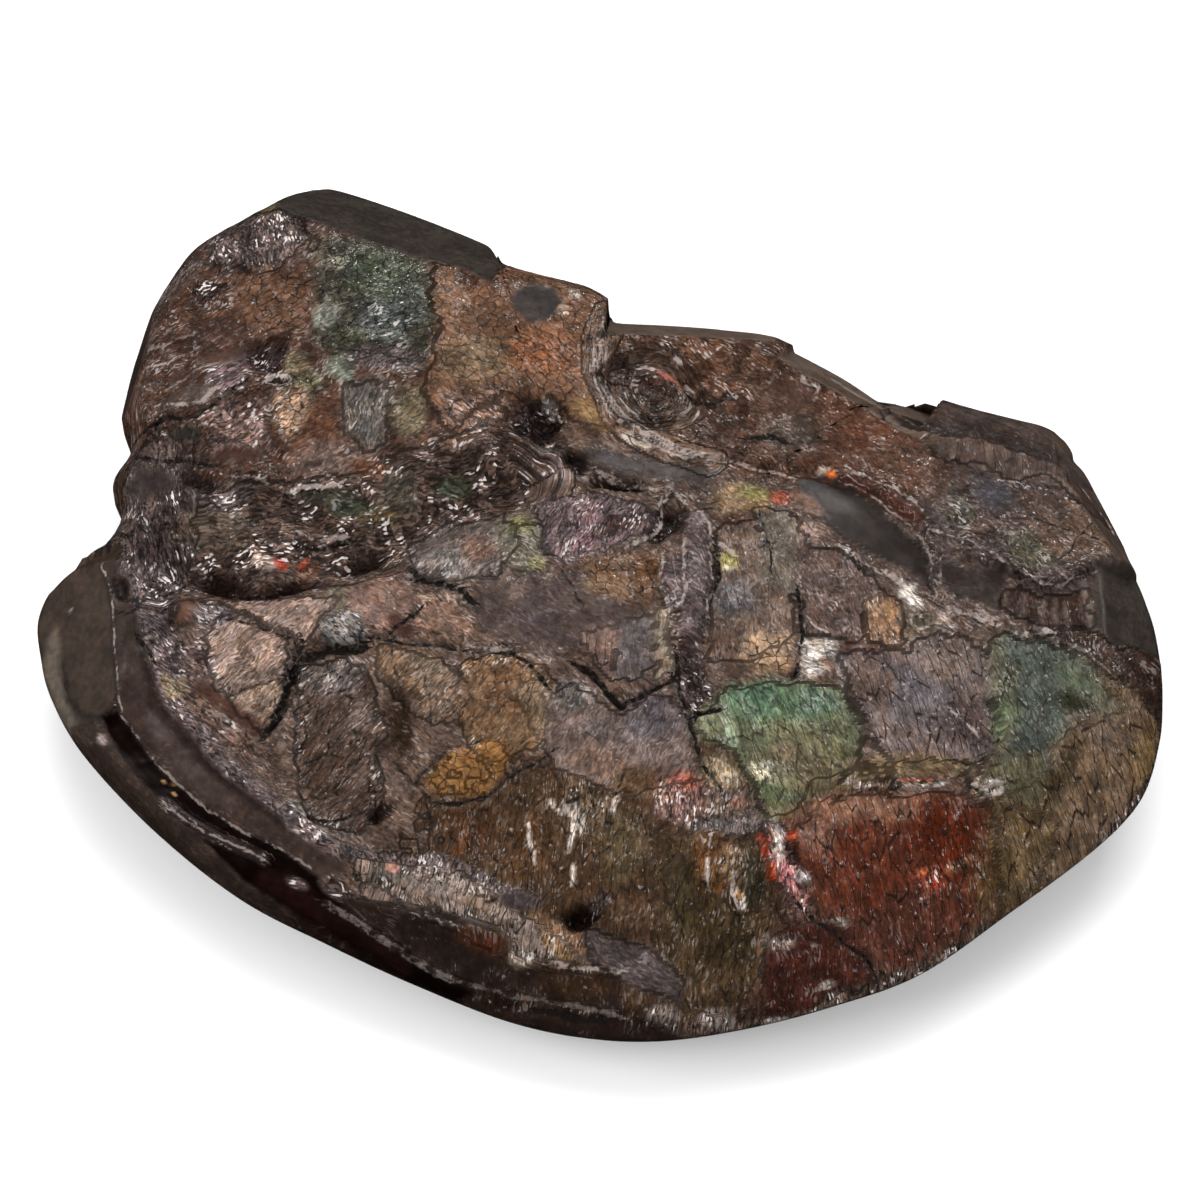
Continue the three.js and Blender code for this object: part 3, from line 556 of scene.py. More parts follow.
spot((-46.3, -6.1), (1.8, 1.6), 0, 0.5, (104, 72, 58), cracked=0, lined=0, foiled=0.1, polished=0.6)
spot((-47.2, -6.2), (0.9, 1), 0, 0.6, (46, 28, 22))
smooth_band = [(-2.4, 13.4), (0.3, 14.4), (3.8, 13.9), (7.2, 13), (13.6, 12.4), (15, 11.4), (11, 9.6),
               (7.7, 9.6), (2.6, 10.8), (-1.5, 12)]
plate(smooth_band, 0.5, -100, (68, 58, 54), 0.9, 0.3, cracked=0, lined=0.05, foiled=0.02, polished=0.8)
spot((1.4, 12.8), (1.3, 0.9), -20, 1.0, (78, 72, 74))
hollow((2.6, 9.7), (3.4, 0.7), -7, 1.6, (34, 21, 17), 0.1)
hollow((-2.4, 12.4), (1.6, 1), -30, 1.2, (30, 20, 18), 0.5)
hollow((7.4, 4.2), (2.6, 1.6), 40, 1.4, (32, 20, 17), 0.3)
spot((-4.6, 11.4), (2, 1.1), -10, 0.7, (124, 106, 102), foiled=1.0)
seam([(0.2, 11.3), (2, 10.4), (5, 10), (6.8, 8.6), (9, 8.4), (9.8, 7.2)], 0.22, 0.4, 0.9)
seam([(2.8, 1.5), (5, 2.6), (6.8, 4.4), (7, 6.6), (8.6, 8.4)], 0.2, 0.5, 0.95)
seam([(11.4, 5.8), (12.8, 4), (13, 2.8), (15, 0.9)], 0.2, 0.4, 0.9)


# ---- The bare back: ringed and rusty ironstone ----
# The shell has come off at the back. What shows is the brown ironstone, rough at the left, with the fine
# rings of a crushed inner whorl, and smooth and rusty to the right.
rings_at = (6.4, 22.2)
ring_along, ring_across = turned_offset(ragged_x, ragged_y, rings_at, -12)
ring_radius = np.hypot(ring_along / 1.12, ring_across)
ring_cover = step_up(5.4 - ring_radius, 1.6)
paint(ring_cover, (84, 68, 60), cracked=0, lined=0.9, foiled=0.55, polished=0)
grain_across[ring_cover > 0.4] = ring_radius[ring_cover > 0.4]
grain_along[ring_cover > 0.4] = 3 * np.arctan2(ring_across, ring_along)[ring_cover > 0.4]
z += 0.5 * ring_cover * np.cos(ring_radius * 2.2) - 0.8 * ring_cover
spot((4.6, 25), (3, 1), -25, 0.7, (74, 54, 48))
seam([(5.4, 25.9), (6.6, 25.7)], 0.24, 0.2)
spot((8.2, 24.8), (2, 0.4), -28, 0.5, (170, 104, 92), foiled=0.4)
spot((9.6, 16.8), (1.6, 1.3), -50, 0.7, (130, 102, 82), foiled=0.8)
spot((13.5, 25), (3, 3.4), 0, 0.9, (92, 64, 49), foiled=0.5)
spot((12, 28.8), (4, 1.8), -20, 0.8, (108, 78, 62), foiled=0.6)
spot((22.4, 22.4), (3, 2.4), -10, 0.7, (82, 60, 51), foiled=0.1, polished=0.3)
spot((13, 17.6), (2.6, 1.6), 0, 0.7, (70, 52, 44), foiled=0.3)
spot((22.5, 17.5), (3.4, 2.8), 0, 0.8, (84, 70, 62), foiled=0.3)
spot((31, 17), (5, 2.6), -30, 0.8, (92, 60, 44), foiled=0.05)
spot((35, 11.6), (5, 3.4), -35, 0.8, (92, 66, 53), foiled=0.15)
crack([(10.4, 22.8), (13, 20.6), (15.8, 22.4)], 0.3, 0.6, 0.7)
crack([(17, 16.4), (19.6, 16.8), (21.4, 16.2)], 0.35, 0.6, 0.9)
crack([(14, 15.4), (16.8, 13.9)], 0.2, 0.4, 0.9)
seam([(24, 24), (26, 22.6), (25.4, 21.4)], 0.2, 0.25, 0.7)
seam([(13.4, 13), (16.8, 12.9), (20, 12.6), (22, 12)], 0.2, 0.3, 0.8)
ledge([(37.5, -1), (36, 4.6), (33, 8.2), (29.4, 10.8), (24, 12.9), (17, 13.2)], -0.9, 5)
stroke([(26, 12.2), (29.6, 10.4), (33, 8.6), (36, 5)], 0.8, 0.7, (82, 50, 40), cracked=0, lined=0,
       foiled=0.2, polished=0.5)
seam([(26, 13), (28.6, 12.2), (31, 11), (34, 9.4), (35.6, 7.4), (37, 5.4)], 0.14, 0.4, 0.75)
# A painted glint, with an orange fleck beside it.
spot((26.1, 12.6), (0.8, 0.35), -30, 0.5, (236, 210, 190))
spot((27, 12.2), (0.5, 0.3), -40, 0.5, (238, 120, 44))

# The dark polished lens, where the grinding met the bare stone.
lens = [(22.3, 12.2), (24, 12.4), (28.2, 10.6), (31, 8.7), (33.2, 6.2), (35.5, 3.5), (37, 0.8),
        (37.6, -1.6), (37.8, -3.4), (35.8, -1.5), (32.5, 0.3), (28.3, 3), (25.1, 6.1), (23.1, 9.2)]
patch(lens, (46, 37, 33), 0.4, cracked=0, lined=0, foiled=0, polished=0.9)
# Painted reflection: a lighter, greyer patch on the polished lens.
spot((27, 8.4), (2.6, 1), -40, 1.0, (68, 62, 60))
seam([(28, 11), (31, 9.2), (34.2, 6), (36.4, 2.8), (37.4, 0), (38, -3.6)], 0.1, 0.2, 0.55)


# ---- Broken shell: the plates of the middle ----
# The middle of the face is a mosaic of flat plates, brown, grey and mauve, with little height between them. A
# V-shaped groove cuts into it from the right, and a rough mauve ridge parts it from the right half.
plate([(-21, 2.3), (-18.3, 4.9), (-11, 6.6), (-9, 2.1), (-11.4, -2.5), (-15.3, -3.7), (-20.3, -2.5)], 0.5,
      -80, (118, 106, 101), 1.2, 0.3, foiled=0.4, lined=0.2, cracked=0.2, grain=55)
spot((-13, 1), (2.8, 1.6), 0, 0.8, (114, 88, 76))
spot((-16.6, -1.2), (2, 2), 0, 0.8, (126, 118, 114), foiled=0.6)
patch([(-12, 6), (-7.6, 6.5), (-6.1, 3.4), (-6.1, -1.1), (-9.2, -2.4), (-10.6, -0.6)], (112, 106, 92), 1.4,
      foiled=0.35, cracked=0.3)
spot((-8.9, 4.4), (1.2, 1.3), 0, 0.9, (134, 128, 92), foiled=0.6)
spot((-7.1, -0.8), (1, 0.8), 0, 0.9, (138, 130, 92), foiled=0.6)
plate([(-7.4, 7.4), (-2, 8.4), (5.4, 6.6), (6.8, 4.9), (2.5, 1.8), (-4.2, -0.3), (-5.9, 0.1), (-6.7, 4.1)],
      1.1, 100, (114, 96, 98), 1.0, 0.5, lined=0.7, foiled=0.75, cracked=0, grain=64)
spot((-1.6, 3), (1, 3), -20, 0.8, (124, 98, 102), foiled=0.9)
spot((2.2, 4.4), (2.6, 1.2), 10, 0.8, (78, 60, 58))
patch([(-1.4, -0.2), (2.5, 1), (6.4, 1.2), (7.4, -2.5), (6.9, -5), (1.4, -5), (-1.4, -3)], (122, 94, 74),
      1.2, cracked=1.0, foiled=0.08, lined=0)
spot((5.8, -1), (1.6, 2), 20, 0.8, (112, 76, 48))
spot((0, -3.6), (2, 1.2), 0, 0.9, (136, 108, 86))
patch([(-13.1, -3.1), (-4.2, -2.7), (0.4, -4.8), (6.4, -7), (5, -9), (0.3, -10), (-7.4, -11.3),
       (-13.2, -9.1)], (80, 66, 62), 1.3, foiled=0.1, lined=0.1, cracked=0.1, polished=0.35)
spot((-8.6, -3.9), (1.1, 0.9), 0, 0.5, (112, 92, 84), foiled=0.3)
spot((-7, -7), (2.4, 2), 0, 0.9, (76, 63, 62))
crack([(-4.4, -1.9), (-3, -3.6), (-2, -6)], 0.14, 0.25, 0.8)
patch([(2, -7.6), (6, -7), (6.2, -13), (4, -15.4), (1.6, -14.8)], (102, 93, 92), 1.0, lined=0.4,
      foiled=0.12, grain=90)
patch([(6.2, -6.3), (8, -6), (8.3, -14), (6.6, -15)], (152, 135, 118), 0.8, lined=0.3, foiled=0.25,
      grain=90)
patch([(-2.2, -9.2), (2, -8.8), (2, -15.4), (-0.5, -13.6), (-1.6, -12)], (122, 98, 88), 1.0, lined=1.0,
      foiled=0.1, grain=88)
plate([(-28.3, -3.3), (-23.7, -1.7), (-19.7, -4.1), (-19.3, -5.8), (-22.4, -9.1), (-26.4, -9.2), (-28, -6)],
      0.5, -60, (136, 109, 99), 0.8, 0.5, foiled=0.12, lined=0.1, cracked=0.15)
plate([(-20.3, -5.5), (-15.8, -5.2), (-13.2, -8.5), (-14.2, -10.9), (-18.5, -10.2), (-20.7, -8.5)], 0.6,
      -60, (132, 104, 90), 0.8, 0.5, foiled=0.2, lined=0.1, cracked=0.3)
spot((-17, -5.3), (3, 0.35), 2, 0.6, (158, 134, 118), foiled=0.6)
spot((-21.6, -8.2), (1.6, 1), -40, 0.6, (84, 58, 50), foiled=0)
crack([(-20.8, -1.4), (-20.3, -3.3), (-16.4, -4.1), (-13.6, -6)], 0.38, 1.0)
crack([(-23, -9.6), (-19.6, -6.2)], 0.2, 0.5)
crack([(-26, -9.8), (-19, -10.6), (-14, -11.4), (-9.4, -11.8), (-7, -14.2)], 0.2, 0.6, 0.8)
crack([(-10, -11.2), (-7.4, -13.6), (-5.6, -16)], 0.26, 0.6, 0.9)
seam([(-13.6, -11.3), (-11.4, -11.5), (-9.6, -11.1)], 0.24, 0.3, 0.8)

# The grey and gold mounds below them.
plate([(-14.6, -13), (-10.7, -11.9), (-5.9, -13.2), (-3.8, -17.2), (-5.7, -21.8), (-10.6, -24),
       (-14, -22.3), (-15.2, -17.2)], 0.3, 60, (124, 96, 72), 1.6, 0.2, lined=0.3, cracked=0.5, foiled=0.15,
      grain=50)
spot((-9.8, -15.8), (3.2, 2.6), -20, 1.0, (114, 84, 60), cracked=0.8)
spot((-6.4, -18.6), (2, 3.6), 15, 0.9, (134, 112, 90), lined=0.7, grain=70)
patch([(-24, -10.6), (-17.4, -12.4), (-14.4, -15), (-15.6, -20), (-20, -19), (-24.2, -14.8)],
      (122, 100, 86), 1.4, lined=0.8, foiled=0.4, grain=48)
patch([(-24.6, -11.2), (-22, -11.4), (-18.8, -15.4), (-19.4, -17), (-22.4, -15.6)], (132, 104, 80), 1.2)
spot((-18.6, -13.6), (2.4, 1.6), -40, 0.8, (152, 130, 112), lined=0.6)
spot((-21.6, -19.5), (1.8, 5), 10, 0.8, (56, 42, 32), foiled=0)
patch([(-19.1, -26.3), (-16, -22.6), (-11.9, -21.8), (-9.3, -23.1), (-10, -25.6), (-12.7, -27.8),
       (-17, -27.9)], (140, 100, 58), 1.0, cracked=0.9, lined=0, foiled=0.05)
crack([(-19.6, -26.2), (-16.4, -22.4), (-12, -21.6)], 0.14, 0.3, 0.7)
crack([(-17.6, -29), (-12.4, -27.9), (-7.6, -24.6), (-4.6, -22.4)], 0.18, 0.5, 0.9)
plate([(-33.6, -13), (-29.5, -12), (-25, -13.1), (-23.6, -19.3), (-23.1, -26.9), (-25.7, -31.8),
       (-30.9, -30.2), (-33.1, -26.5), (-33.3, -18.9)], 0.4, 0, (92, 75, 67), 1.2, 0.3, lined=1.0,
      foiled=0.25, cracked=0, grain=46)
spot((-29, -14), (3.6, 1.7), 10, 0.8, (110, 98, 94), foiled=0.7)
spot((-30, -24), (3, 4), 0, 0.9, (84, 66, 56))
patch([(-30.8, -8.3), (-28.6, -6.6), (-25.8, -7.6), (-25.3, -10.2), (-29, -11)], (122, 117, 114), 0.8,
      foiled=0.9)
z += 0.9 * oval((-28.4, -8.8), (2.9, 1.7), 0, 1.0)
crack([(-33.6, -14.4), (-32.2, -12), (-29.6, -11), (-25.8, -11.2)], 0.5, 1.5)
crack([(-28.4, -2.6), (-30.6, -7), (-32.8, -11.2)], 0.16, 0.4, 0.7)
spot((-28.8, -5.2), (1.2, 2), 0, 0.7, (136, 128, 110), foiled=0.3)

# The V-shaped groove and the rough joint beside it.
crack([(-2.8, -13), (-0.4, -14.8), (1.4, -16.4), (3, -18)], 0.3, 1.8, 1.4)
crack([(3, -18), (5.4, -16.9), (8.6, -15)], 0.25, 1.3, 1.4)
patch([(8.6, -9.6), (11.4, -10.2), (12, -14), (13, -17), (11, -19.6), (9.4, -16)], (70, 56, 54), 0.9,
      foiled=1.0, cracked=0)
crack([(8.6, -12), (9.2, -15.6), (10.6, -18.6), (13.4, -18)], 0.3, 1.0)
crack([(9.8, -17.6), (10.6, -21), (11.6, -24.4), (12.8, -26.6)], 0.22, 0.7, 0.9)
patch([(-5.7, -17.2), (-2.4, -15.6), (2.6, -18.9), (8.4, -16), (10.1, -19.5), (11.1, -26), (4.6, -28),
       (-2.9, -27.2), (-6.2, -22.9)], (114, 98, 93), 1.2, lined=0.35, foiled=0.2, cracked=0.1, grain=62)
spot((6, -19.4), (3.4, 2.6), 20, 0.9, (106, 95, 98), foiled=0.3)
spot((-2.6, -17), (2.2, 1.6), 0, 0.8, (102, 96, 92), foiled=0.6)
spot((0, -24.4), (3, 2.2), 0, 0.9, (126, 102, 90))
spot((4.4, -26.6), (4, 1.6), 0, 0.9, (104, 80, 60))
crack([(1.6, -27.6), (2.8, -25.2)], 0.16, 0.4, 0.8)
crack([(-1.2, -20.4), (1.2, -23)], 0.1, 0.2, 0.5)

# The mauve ridge that stands between the halves.
for centre, half in (([(11.4, 4.4), (11.4, 0), (11.3, -5), (10.4, -9)], 1.45),
                     ([(8.6, -0.6), (8.4, -5.2)], 1.0)):
    ridge_cover = strip(centre, half, 0.7)
    z += 0.7 * ridge_cover
    paint(ridge_cover, (98, 83, 84), cracked=0, lined=0.2, foiled=0.45, polished=0.1)
seam([(9.9, 4), (9.8, 0), (9.7, -4.6), (8.6, -6.6), (8, -6)], 0.2, 0.2, 0.8)
seam([(7.4, 0), (7.3, -3.4), (7.9, -6.6)], 0.2, 0.2, 0.8)
seam([(13, 3), (12.8, -1), (13, -4.2), (11.8, -8.6)], 0.2, 0.2, 0.8)
crack([(13.6, 2.4), (13.6, -2.2), (12.9, -5.6), (11.8, -8.4)], 0.2, 0.7, 0.9)
hollow((13.2, -1.6), (0.6, 0.6), 0, 0.6)


# ---- Broken shell: the plates of the right half ----
# Larger plates with growth lines that run down to the right: grey, green and mauve, then red and gold in
# front.
patch([(13.4, 4.4), (17.4, 6.4), (18, 2), (21.6, 0), (21.9, -9.4), (16.2, -12.4), (12.2, -12.4),
       (13.2, -4)], (116, 96, 85), 1.2, lined=0.6, foiled=0.2, cracked=0.1, grain=100)
spot((15.6, 6), (2.2, 1.4), 0, 0.8, (84, 59, 47), foiled=0.1)
spot((15.4, -4.8), (2.6, 2.4), 0, 0.9, (96, 90, 92))
spot((14.5, -10.8), (2.2, 1.8), 0, 0.9, (96, 76, 66))
patch([(17.6, 7), (22, 6.8), (23.6, 3), (22.4, -4.4), (18.6, -2.5)], (110, 100, 90), 1.0, lined=0.5,
      foiled=0.12, grain=104)
crack([(18.2, 6.8), (19, 3), (19.8, -1.4)], 0.14, 0.3, 0.9)
crack([(17.4, 1.4), (19.8, 2.4)], 0.14, 0.3, 0.7)
patch([(22.4, 4.6), (25, 5.2), (26, 3.4), (24.4, 1), (22.6, 1.6)], (138, 114, 106), 0.9, foiled=0.4)
patch([(22.3, 1), (26, 2), (31, -1.6), (32.5, -4), (29.5, -5), (29.4, -9.9), (26.3, -9.9), (22.6, -9.4)],
      (98, 80, 74), 1.2, lined=0.5, foiled=0.3, cracked=0, grain=112)
spot((28.6, 0.6), (2.2, 1.2), -35, 0.9, (104, 90, 86), foiled=1.0)
seam([(26.8, 2.4), (28.6, 1.4), (29.4, 0.2)], 0.2, 0.3, 0.8)
seam([(31, -0.4), (33, -1.6), (34, -2.8)], 0.22, 0.3, 0.9)
seam([(23.2, -7.2), (24.4, -8.6), (26.6, -9), (27.4, -8.2), (27.2, -6.6), (26.4, -5.4)], 0.16, 0.25, 0.7)
crack([(22.5, -3.8), (22.6, -9.4), (22, -14)], 0.22, 0.7)
hollow((21.7, -14.2), (0.9, 0.6), 0, 0.8, (24, 14, 11), 0.1)
patch([(12.3, 8.4), (16.3, 10.3), (19.6, 9.6), (19.2, 6.9), (13.9, 6.8)], (142, 116, 86), 1.0, cracked=0.4,
      foiled=0.2)
spot((17.8, 9), (1.5, 0.9), 0, 0.7, (146, 136, 82))
spot((20.9, 8.4), (1.3, 0.8), -20, 0.7, (168, 84, 62), foiled=0.5)
spot((24, 8), (2.2, 1), -50, 0.8, (106, 76, 60), foiled=0.05, polished=0.5)
spot((14.6, -0.2), (0.9, 1.1), 0, 0.6, (168, 158, 92), foiled=0.2)
spot((14.5, -1), (0.5, 0.4), 0, 0.6, (232, 226, 190))
patch([(16.2, -9.8), (18.6, -8.6), (21.4, -9.6), (21.2, -13.8), (17.6, -14), (16, -12)], (158, 128, 102),
      1.0, cracked=1.0, foiled=0.1, lined=0)
spot((18.8, -11), (1.5, 1.8), 0, 0.8, (174, 144, 118))
plate([(29.4, -5), (32.1, -3.6), (33.9, -4.9), (33.7, -9.9), (29.6, -10.5)], 0.6, 100, (152, 118, 94), 0.9,
      0.5, cracked=0.5, lined=0.4, foiled=0.2, grain=104)
spot((32.4, -6.2), (1, 1.4), 0, 0.8, (172, 132, 96))
patch([(33.6, -5.4), (36, -5), (38.6, -8), (37.4, -11), (33.8, -10)], (106, 92, 78), 1.2, foiled=0.3,
      lined=0.3)
plate([(33.7, -2.6), (35.6, -2.5), (36, -5.2), (34.1, -5.2)], 0.6, 90, (214, 202, 192), 0.5, 0.5,
      foiled=0.8, cracked=0)
seam([(34.6, -6.2), (36.2, -6.4), (36.6, -7.6), (35.6, -8.4), (34.6, -7.6), (34.6, -6.2)], 0.15, 0.2, 0.6)
plate([(22.6, -10.4), (24.6, -9.8), (26.3, -10.2), (26.4, -12.4), (25.2, -14.6), (23.4, -14.6),
       (22.8, -13)], 0.9, -90, (228, 216, 208), 0.5, 0.8, cracked=0.5, lined=0, foiled=0.4)
spot((25.4, -13.2), (0.8, 1), 0, 0.7, (150, 122, 104), foiled=0.6)
spot((26.9, -13.8), (0.5, 2), 10, 0.7, (150, 138, 134), foiled=1.0)
spot((29.8, -11.4), (3, 1), 0, 0.8, (84, 56, 46), foiled=0.2)
patch([(27.6, -10.4), (29.6, -11.6), (33, -11), (33.5, -13), (28.6, -13.4)], (92, 66, 56), 1.2)

# The bright green plate.
green = [(10.6, -20), (12.7, -17.6), (14, -15.4), (20, -15.3), (25.8, -15.5), (27.2, -16), (28.2, -18.4),
         (29, -22.6), (28, -25.2), (24.2, -26.6), (20.6, -29.6), (19.1, -30), (17.8, -28.8), (16.6, -25.4),
         (15, -22.8), (12.4, -21.8)]
patch(green, (102, 106, 82), 1.4, lined=0.8, foiled=0.22, cracked=0.05, grain=112)
spot((19.4, -17.8), (5.4, 2.6), -10, 1.0, (84, 108, 82))
spot((17, -16.8), (3, 1.4), 0, 0.8, (88, 114, 92))
spot((24, -17.2), (2.4, 1.4), 0, 0.9, (104, 124, 106), foiled=0.4)
spot((12.6, -19.4), (1.4, 2.6), -30, 0.9, (118, 120, 94), strength=0.8)
spot((14.4, -19.6), (0.5, 3), 14, 0.9, (150, 164, 138), foiled=0.5, strength=0.8)
spot((16.6, -18.4), (0.5, 2.4), 14, 0.9, (136, 156, 130), foiled=0.5, strength=0.8)
spot((22.5, -22), (4.6, 2.4), -16, 1.0, (112, 108, 80), strength=0.9)
spot((20.4, -22.8), (1.3, 1), 0, 0.8, (136, 112, 90), strength=0.8)
spot((23.6, -25.2), (4.4, 2.4), -20, 1.0, (112, 100, 76), strength=0.9)
spot((18.4, -28), (1.2, 2.6), 12, 0.9, (94, 102, 72))
plate([(17, -24.1), (18.6, -23.9), (19, -25.8), (17.6, -26.1)], 0.4, -90, (196, 190, 164), 0.5, 0.5,
      foiled=0.9)
crack([(12.8, -17.2), (14.2, -15.2), (20, -15), (26.2, -15.2)], 0.08, 0.3, 0.4)

# The mauve plate beside it.
mauve = [(26.8, -12.4), (30.1, -11), (34, -11), (37, -8.6), (41.2, -9.2), (43.6, -13), (43, -17.4),
         (44.8, -20.6), (42.5, -23.6), (38.4, -23.8), (33, -24), (29.4, -22), (28, -17)]
patch(mauve, (112, 97, 94), 1.2, lined=1.0, foiled=0.12, cracked=0.05, grain=108)
spot((34.6, -16.6), (4, 3.4), -20, 1.0, (98, 92, 96), strength=0.9)
spot((39, -12.4), (3, 2.4), 0, 0.9, (120, 104, 96))
spot((41.4, -20), (2.4, 2.8), 0, 0.8, (84, 70, 68))
spot((30.4, -15), (2, 3), 20, 0.9, (112, 92, 84))
spot((34.4, -24.4), (3.4, 1.1), 0, 0.9, (142, 112, 94), foiled=0.1)
crack([(44, -21.4), (43.2, -23.4), (40, -24.2), (38.6, -23.4)], 0.14, 0.4, 0.8)
seam([(39, -18.8), (41.8, -21.6), (43.4, -23)], 0.13, 0.1, 0.9)
plate([(37.2, -7.4), (38.6, -6), (40.2, -6.2), (39.4, -8.2)], 0.5, 90, (190, 170, 162), 0.6, 0.4,
      foiled=0.2)
seam([(38.2, -5.2), (39.2, -6.2)], 0.24, 0.2, 1.0)
seam([(40, -6), (43, -6.4), (45.6, -7.6)], 0.22, 0.3, 0.6)
seam([(46, -7.4), (47.2, -8.8)], 0.34, 0.3, 1.0)
seam([(49, -8), (50.4, -8.6)], 0.3, 0.2, 0.9)

# The sea-green plate, which fades into tan on its right.
patch([(43.3, -9.2), (47.9, -8.8), (50.6, -9.8), (55.1, -12.8), (58, -17), (54.4, -20), (51, -20),
       (49.6, -23.8), (45.8, -27.6), (42, -26.4), (42.6, -23.6), (45, -20.6), (43.2, -17)], (92, 90, 74),
      1.8, lined=0.8, foiled=0.06, cracked=0, grain=110)
patch([(45.1, -8.8), (47.9, -8.8), (50.6, -9.8), (53.3, -11.3), (55.1, -12.8), (54.4, -15.3), (52, -17.3),
       (50.9, -19.3), (49.8, -21.7), (48.6, -24.4), (44.6, -24.4), (44.6, -20.3), (46, -15.9),
       (44.6, -11.9)], (78, 84, 76), 1.6)
spot((44.4, -19.6), (1.5, 2.8), -8, 0.9, (98, 106, 80))
spot((45.2, -14.8), (0.9, 1.8), -20, 0.8, (112, 112, 96), foiled=0.9)
spot((53, -14.2), (2.6, 1.6), -30, 0.9, (94, 102, 84))
spot((52.8, -17.4), (2.6, 1), -6, 0.8, (58, 60, 46))
spot((46.4, -26), (3.4, 2.6), 0, 1.0, (94, 90, 70))
spot((55.6, -20.2), (3.6, 1.8), -10, 0.9, (116, 98, 84), lined=0.9)
spot((61.2, -21.3), (2, 3.4), -20, 0.9, (124, 100, 68))
spot((50.6, -25), (1.2, 4.4), -35, 0.9, (80, 68, 50))
crack([(51, -24.6), (52.5, -22.1), (54.6, -19)], 0.1, 0.3, 0.4)

# The crest, with painted highlights along it, and the red plate in front of it.
patch([(27.4, -24.2), (33.1, -23.6), (40.7, -23.6), (40.6, -25.1), (33, -25.5), (28, -25.8)],
      (122, 102, 78), 1.0, lined=0.6)
crack([(26.4, -27.4), (32, -27), (38, -27)], 0.08, 0.15, 0.4)
# Painted highlights: short bright strokes along the crest.
for start, end in ((27.4, 28.6), (29, 29.4), (30.2, 32.2), (32.6, 33), (33.6, 35), (35.6, 36), (36.4, 37.6)):
    stroke([(start, -26.5), (end, -26.4)], 0.2, 0.7, (216, 204, 196), foiled=0.6)
spot((32.4, -26.3), (5, 0.4), 0, 0.9, (112, 92, 78), foiled=1.0)
spot((35.2, -26), (2.2, 0.16), 0, 0.7, (176, 84, 44))
spot((42.4, -27.1), (1.9, 0.8), 6, 0.6, (150, 138, 120), foiled=1.0)
seam([(40.6, -26.5), (42.2, -27.2), (43.8, -26.4), (44.1, -27.5), (41.9, -28)], 0.2, 0.3, 1.0)
red = [(21.4, -31.4), (24.1, -28.8), (27.9, -27.7), (38, -27.6), (41.9, -28.3), (43.4, -30), (44.2, -34.9),
       (42, -38.6), (38.1, -42), (32.9, -44.4), (27.8, -43.8), (25.3, -41), (22.1, -37.8), (20.9, -35.2)]
patch(red, (94, 52, 38), 1.8, lined=1.0, foiled=0.1, cracked=0.05, grain=104)
spot((29, -29.4), (8, 1.5), 2, 1.0, (140, 100, 80))
spot((28, -34.8), (6.5, 3.6), -10, 1.0, (98, 50, 34), strength=0.9)
spot((38, -32.2), (4.6, 3.6), -20, 1.0, (88, 38, 20))
spot((23.4, -32), (2, 2.4), 0, 0.9, (116, 80, 66))
spot((43, -34), (2.2, 5), -10, 1.0, (92, 70, 46))
spot((31.3, -41.4), (7, 2.4), 14, 1.0, (88, 54, 44))
spot((36, -36.4), (1.7, 1.3), 10, 1.0, (128, 60, 42), foiled=1.0)
spot((35.2, -35.9), (0.6, 0.35), 30, 0.7, (214, 120, 80), foiled=0.6)
spot((36.6, -36.9), (0.5, 0.5), 0, 0.9, (190, 62, 28))
spot((40.3, -34.5), (2.6, 0.6), 25, 0.8, (126, 84, 60), foiled=0.9)
patch([(43.4, -29), (46.2, -28.1), (50.3, -30.3), (48.2, -36.2), (43.9, -39.1), (43.6, -33.9)],
      (100, 82, 58), 2.2, lined=1.0, foiled=0.06, grain=112)
crack([(20.9, -38.9), (23.6, -41), (26.4, -43), (29.8, -45.2)], 0.18, 0.5, 0.8)
spot((26, -41.4), (0.7, 0.4), -20, 0.6, (176, 160, 150), foiled=0.6)

# White painted highlights, and pink and orange marks, beside it.
plate([(17.6, -31.2), (19.6, -31), (20.8, -35), (22.9, -37.9), (23.2, -40.3), (20.7, -39.9), (18.4, -36.2)],
      0.7, 180, (134, 94, 88), 0.9, 0.2, foiled=1.0, lined=0.2, grain=104)
# The two white marks are painted highlights.
spot((19.5, -33), (0.35, 2.2), 8, 0.8, (232, 216, 208), foiled=0.6)
spot((21.7, -37), (0.9, 0.5), -30, 0.9, (222, 206, 202), foiled=0.8)
spot((18, -33.6), (0.5, 1.4), 14, 0.6, (226, 66, 22), foiled=0.2)
spot((18.5, -36), (0.4, 0.8), 10, 0.6, (232, 88, 30), foiled=0.2)
spot((20.8, -32.6), (0.4, 0.7), 20, 0.6, (196, 80, 44), foiled=0.2)
spot((20.3, -36.7), (0.8, 1.6), 20, 0.8, (166, 102, 104))
spot((20.9, -34.4), (0.5, 1.2), 30, 1.0, (70, 34, 30))


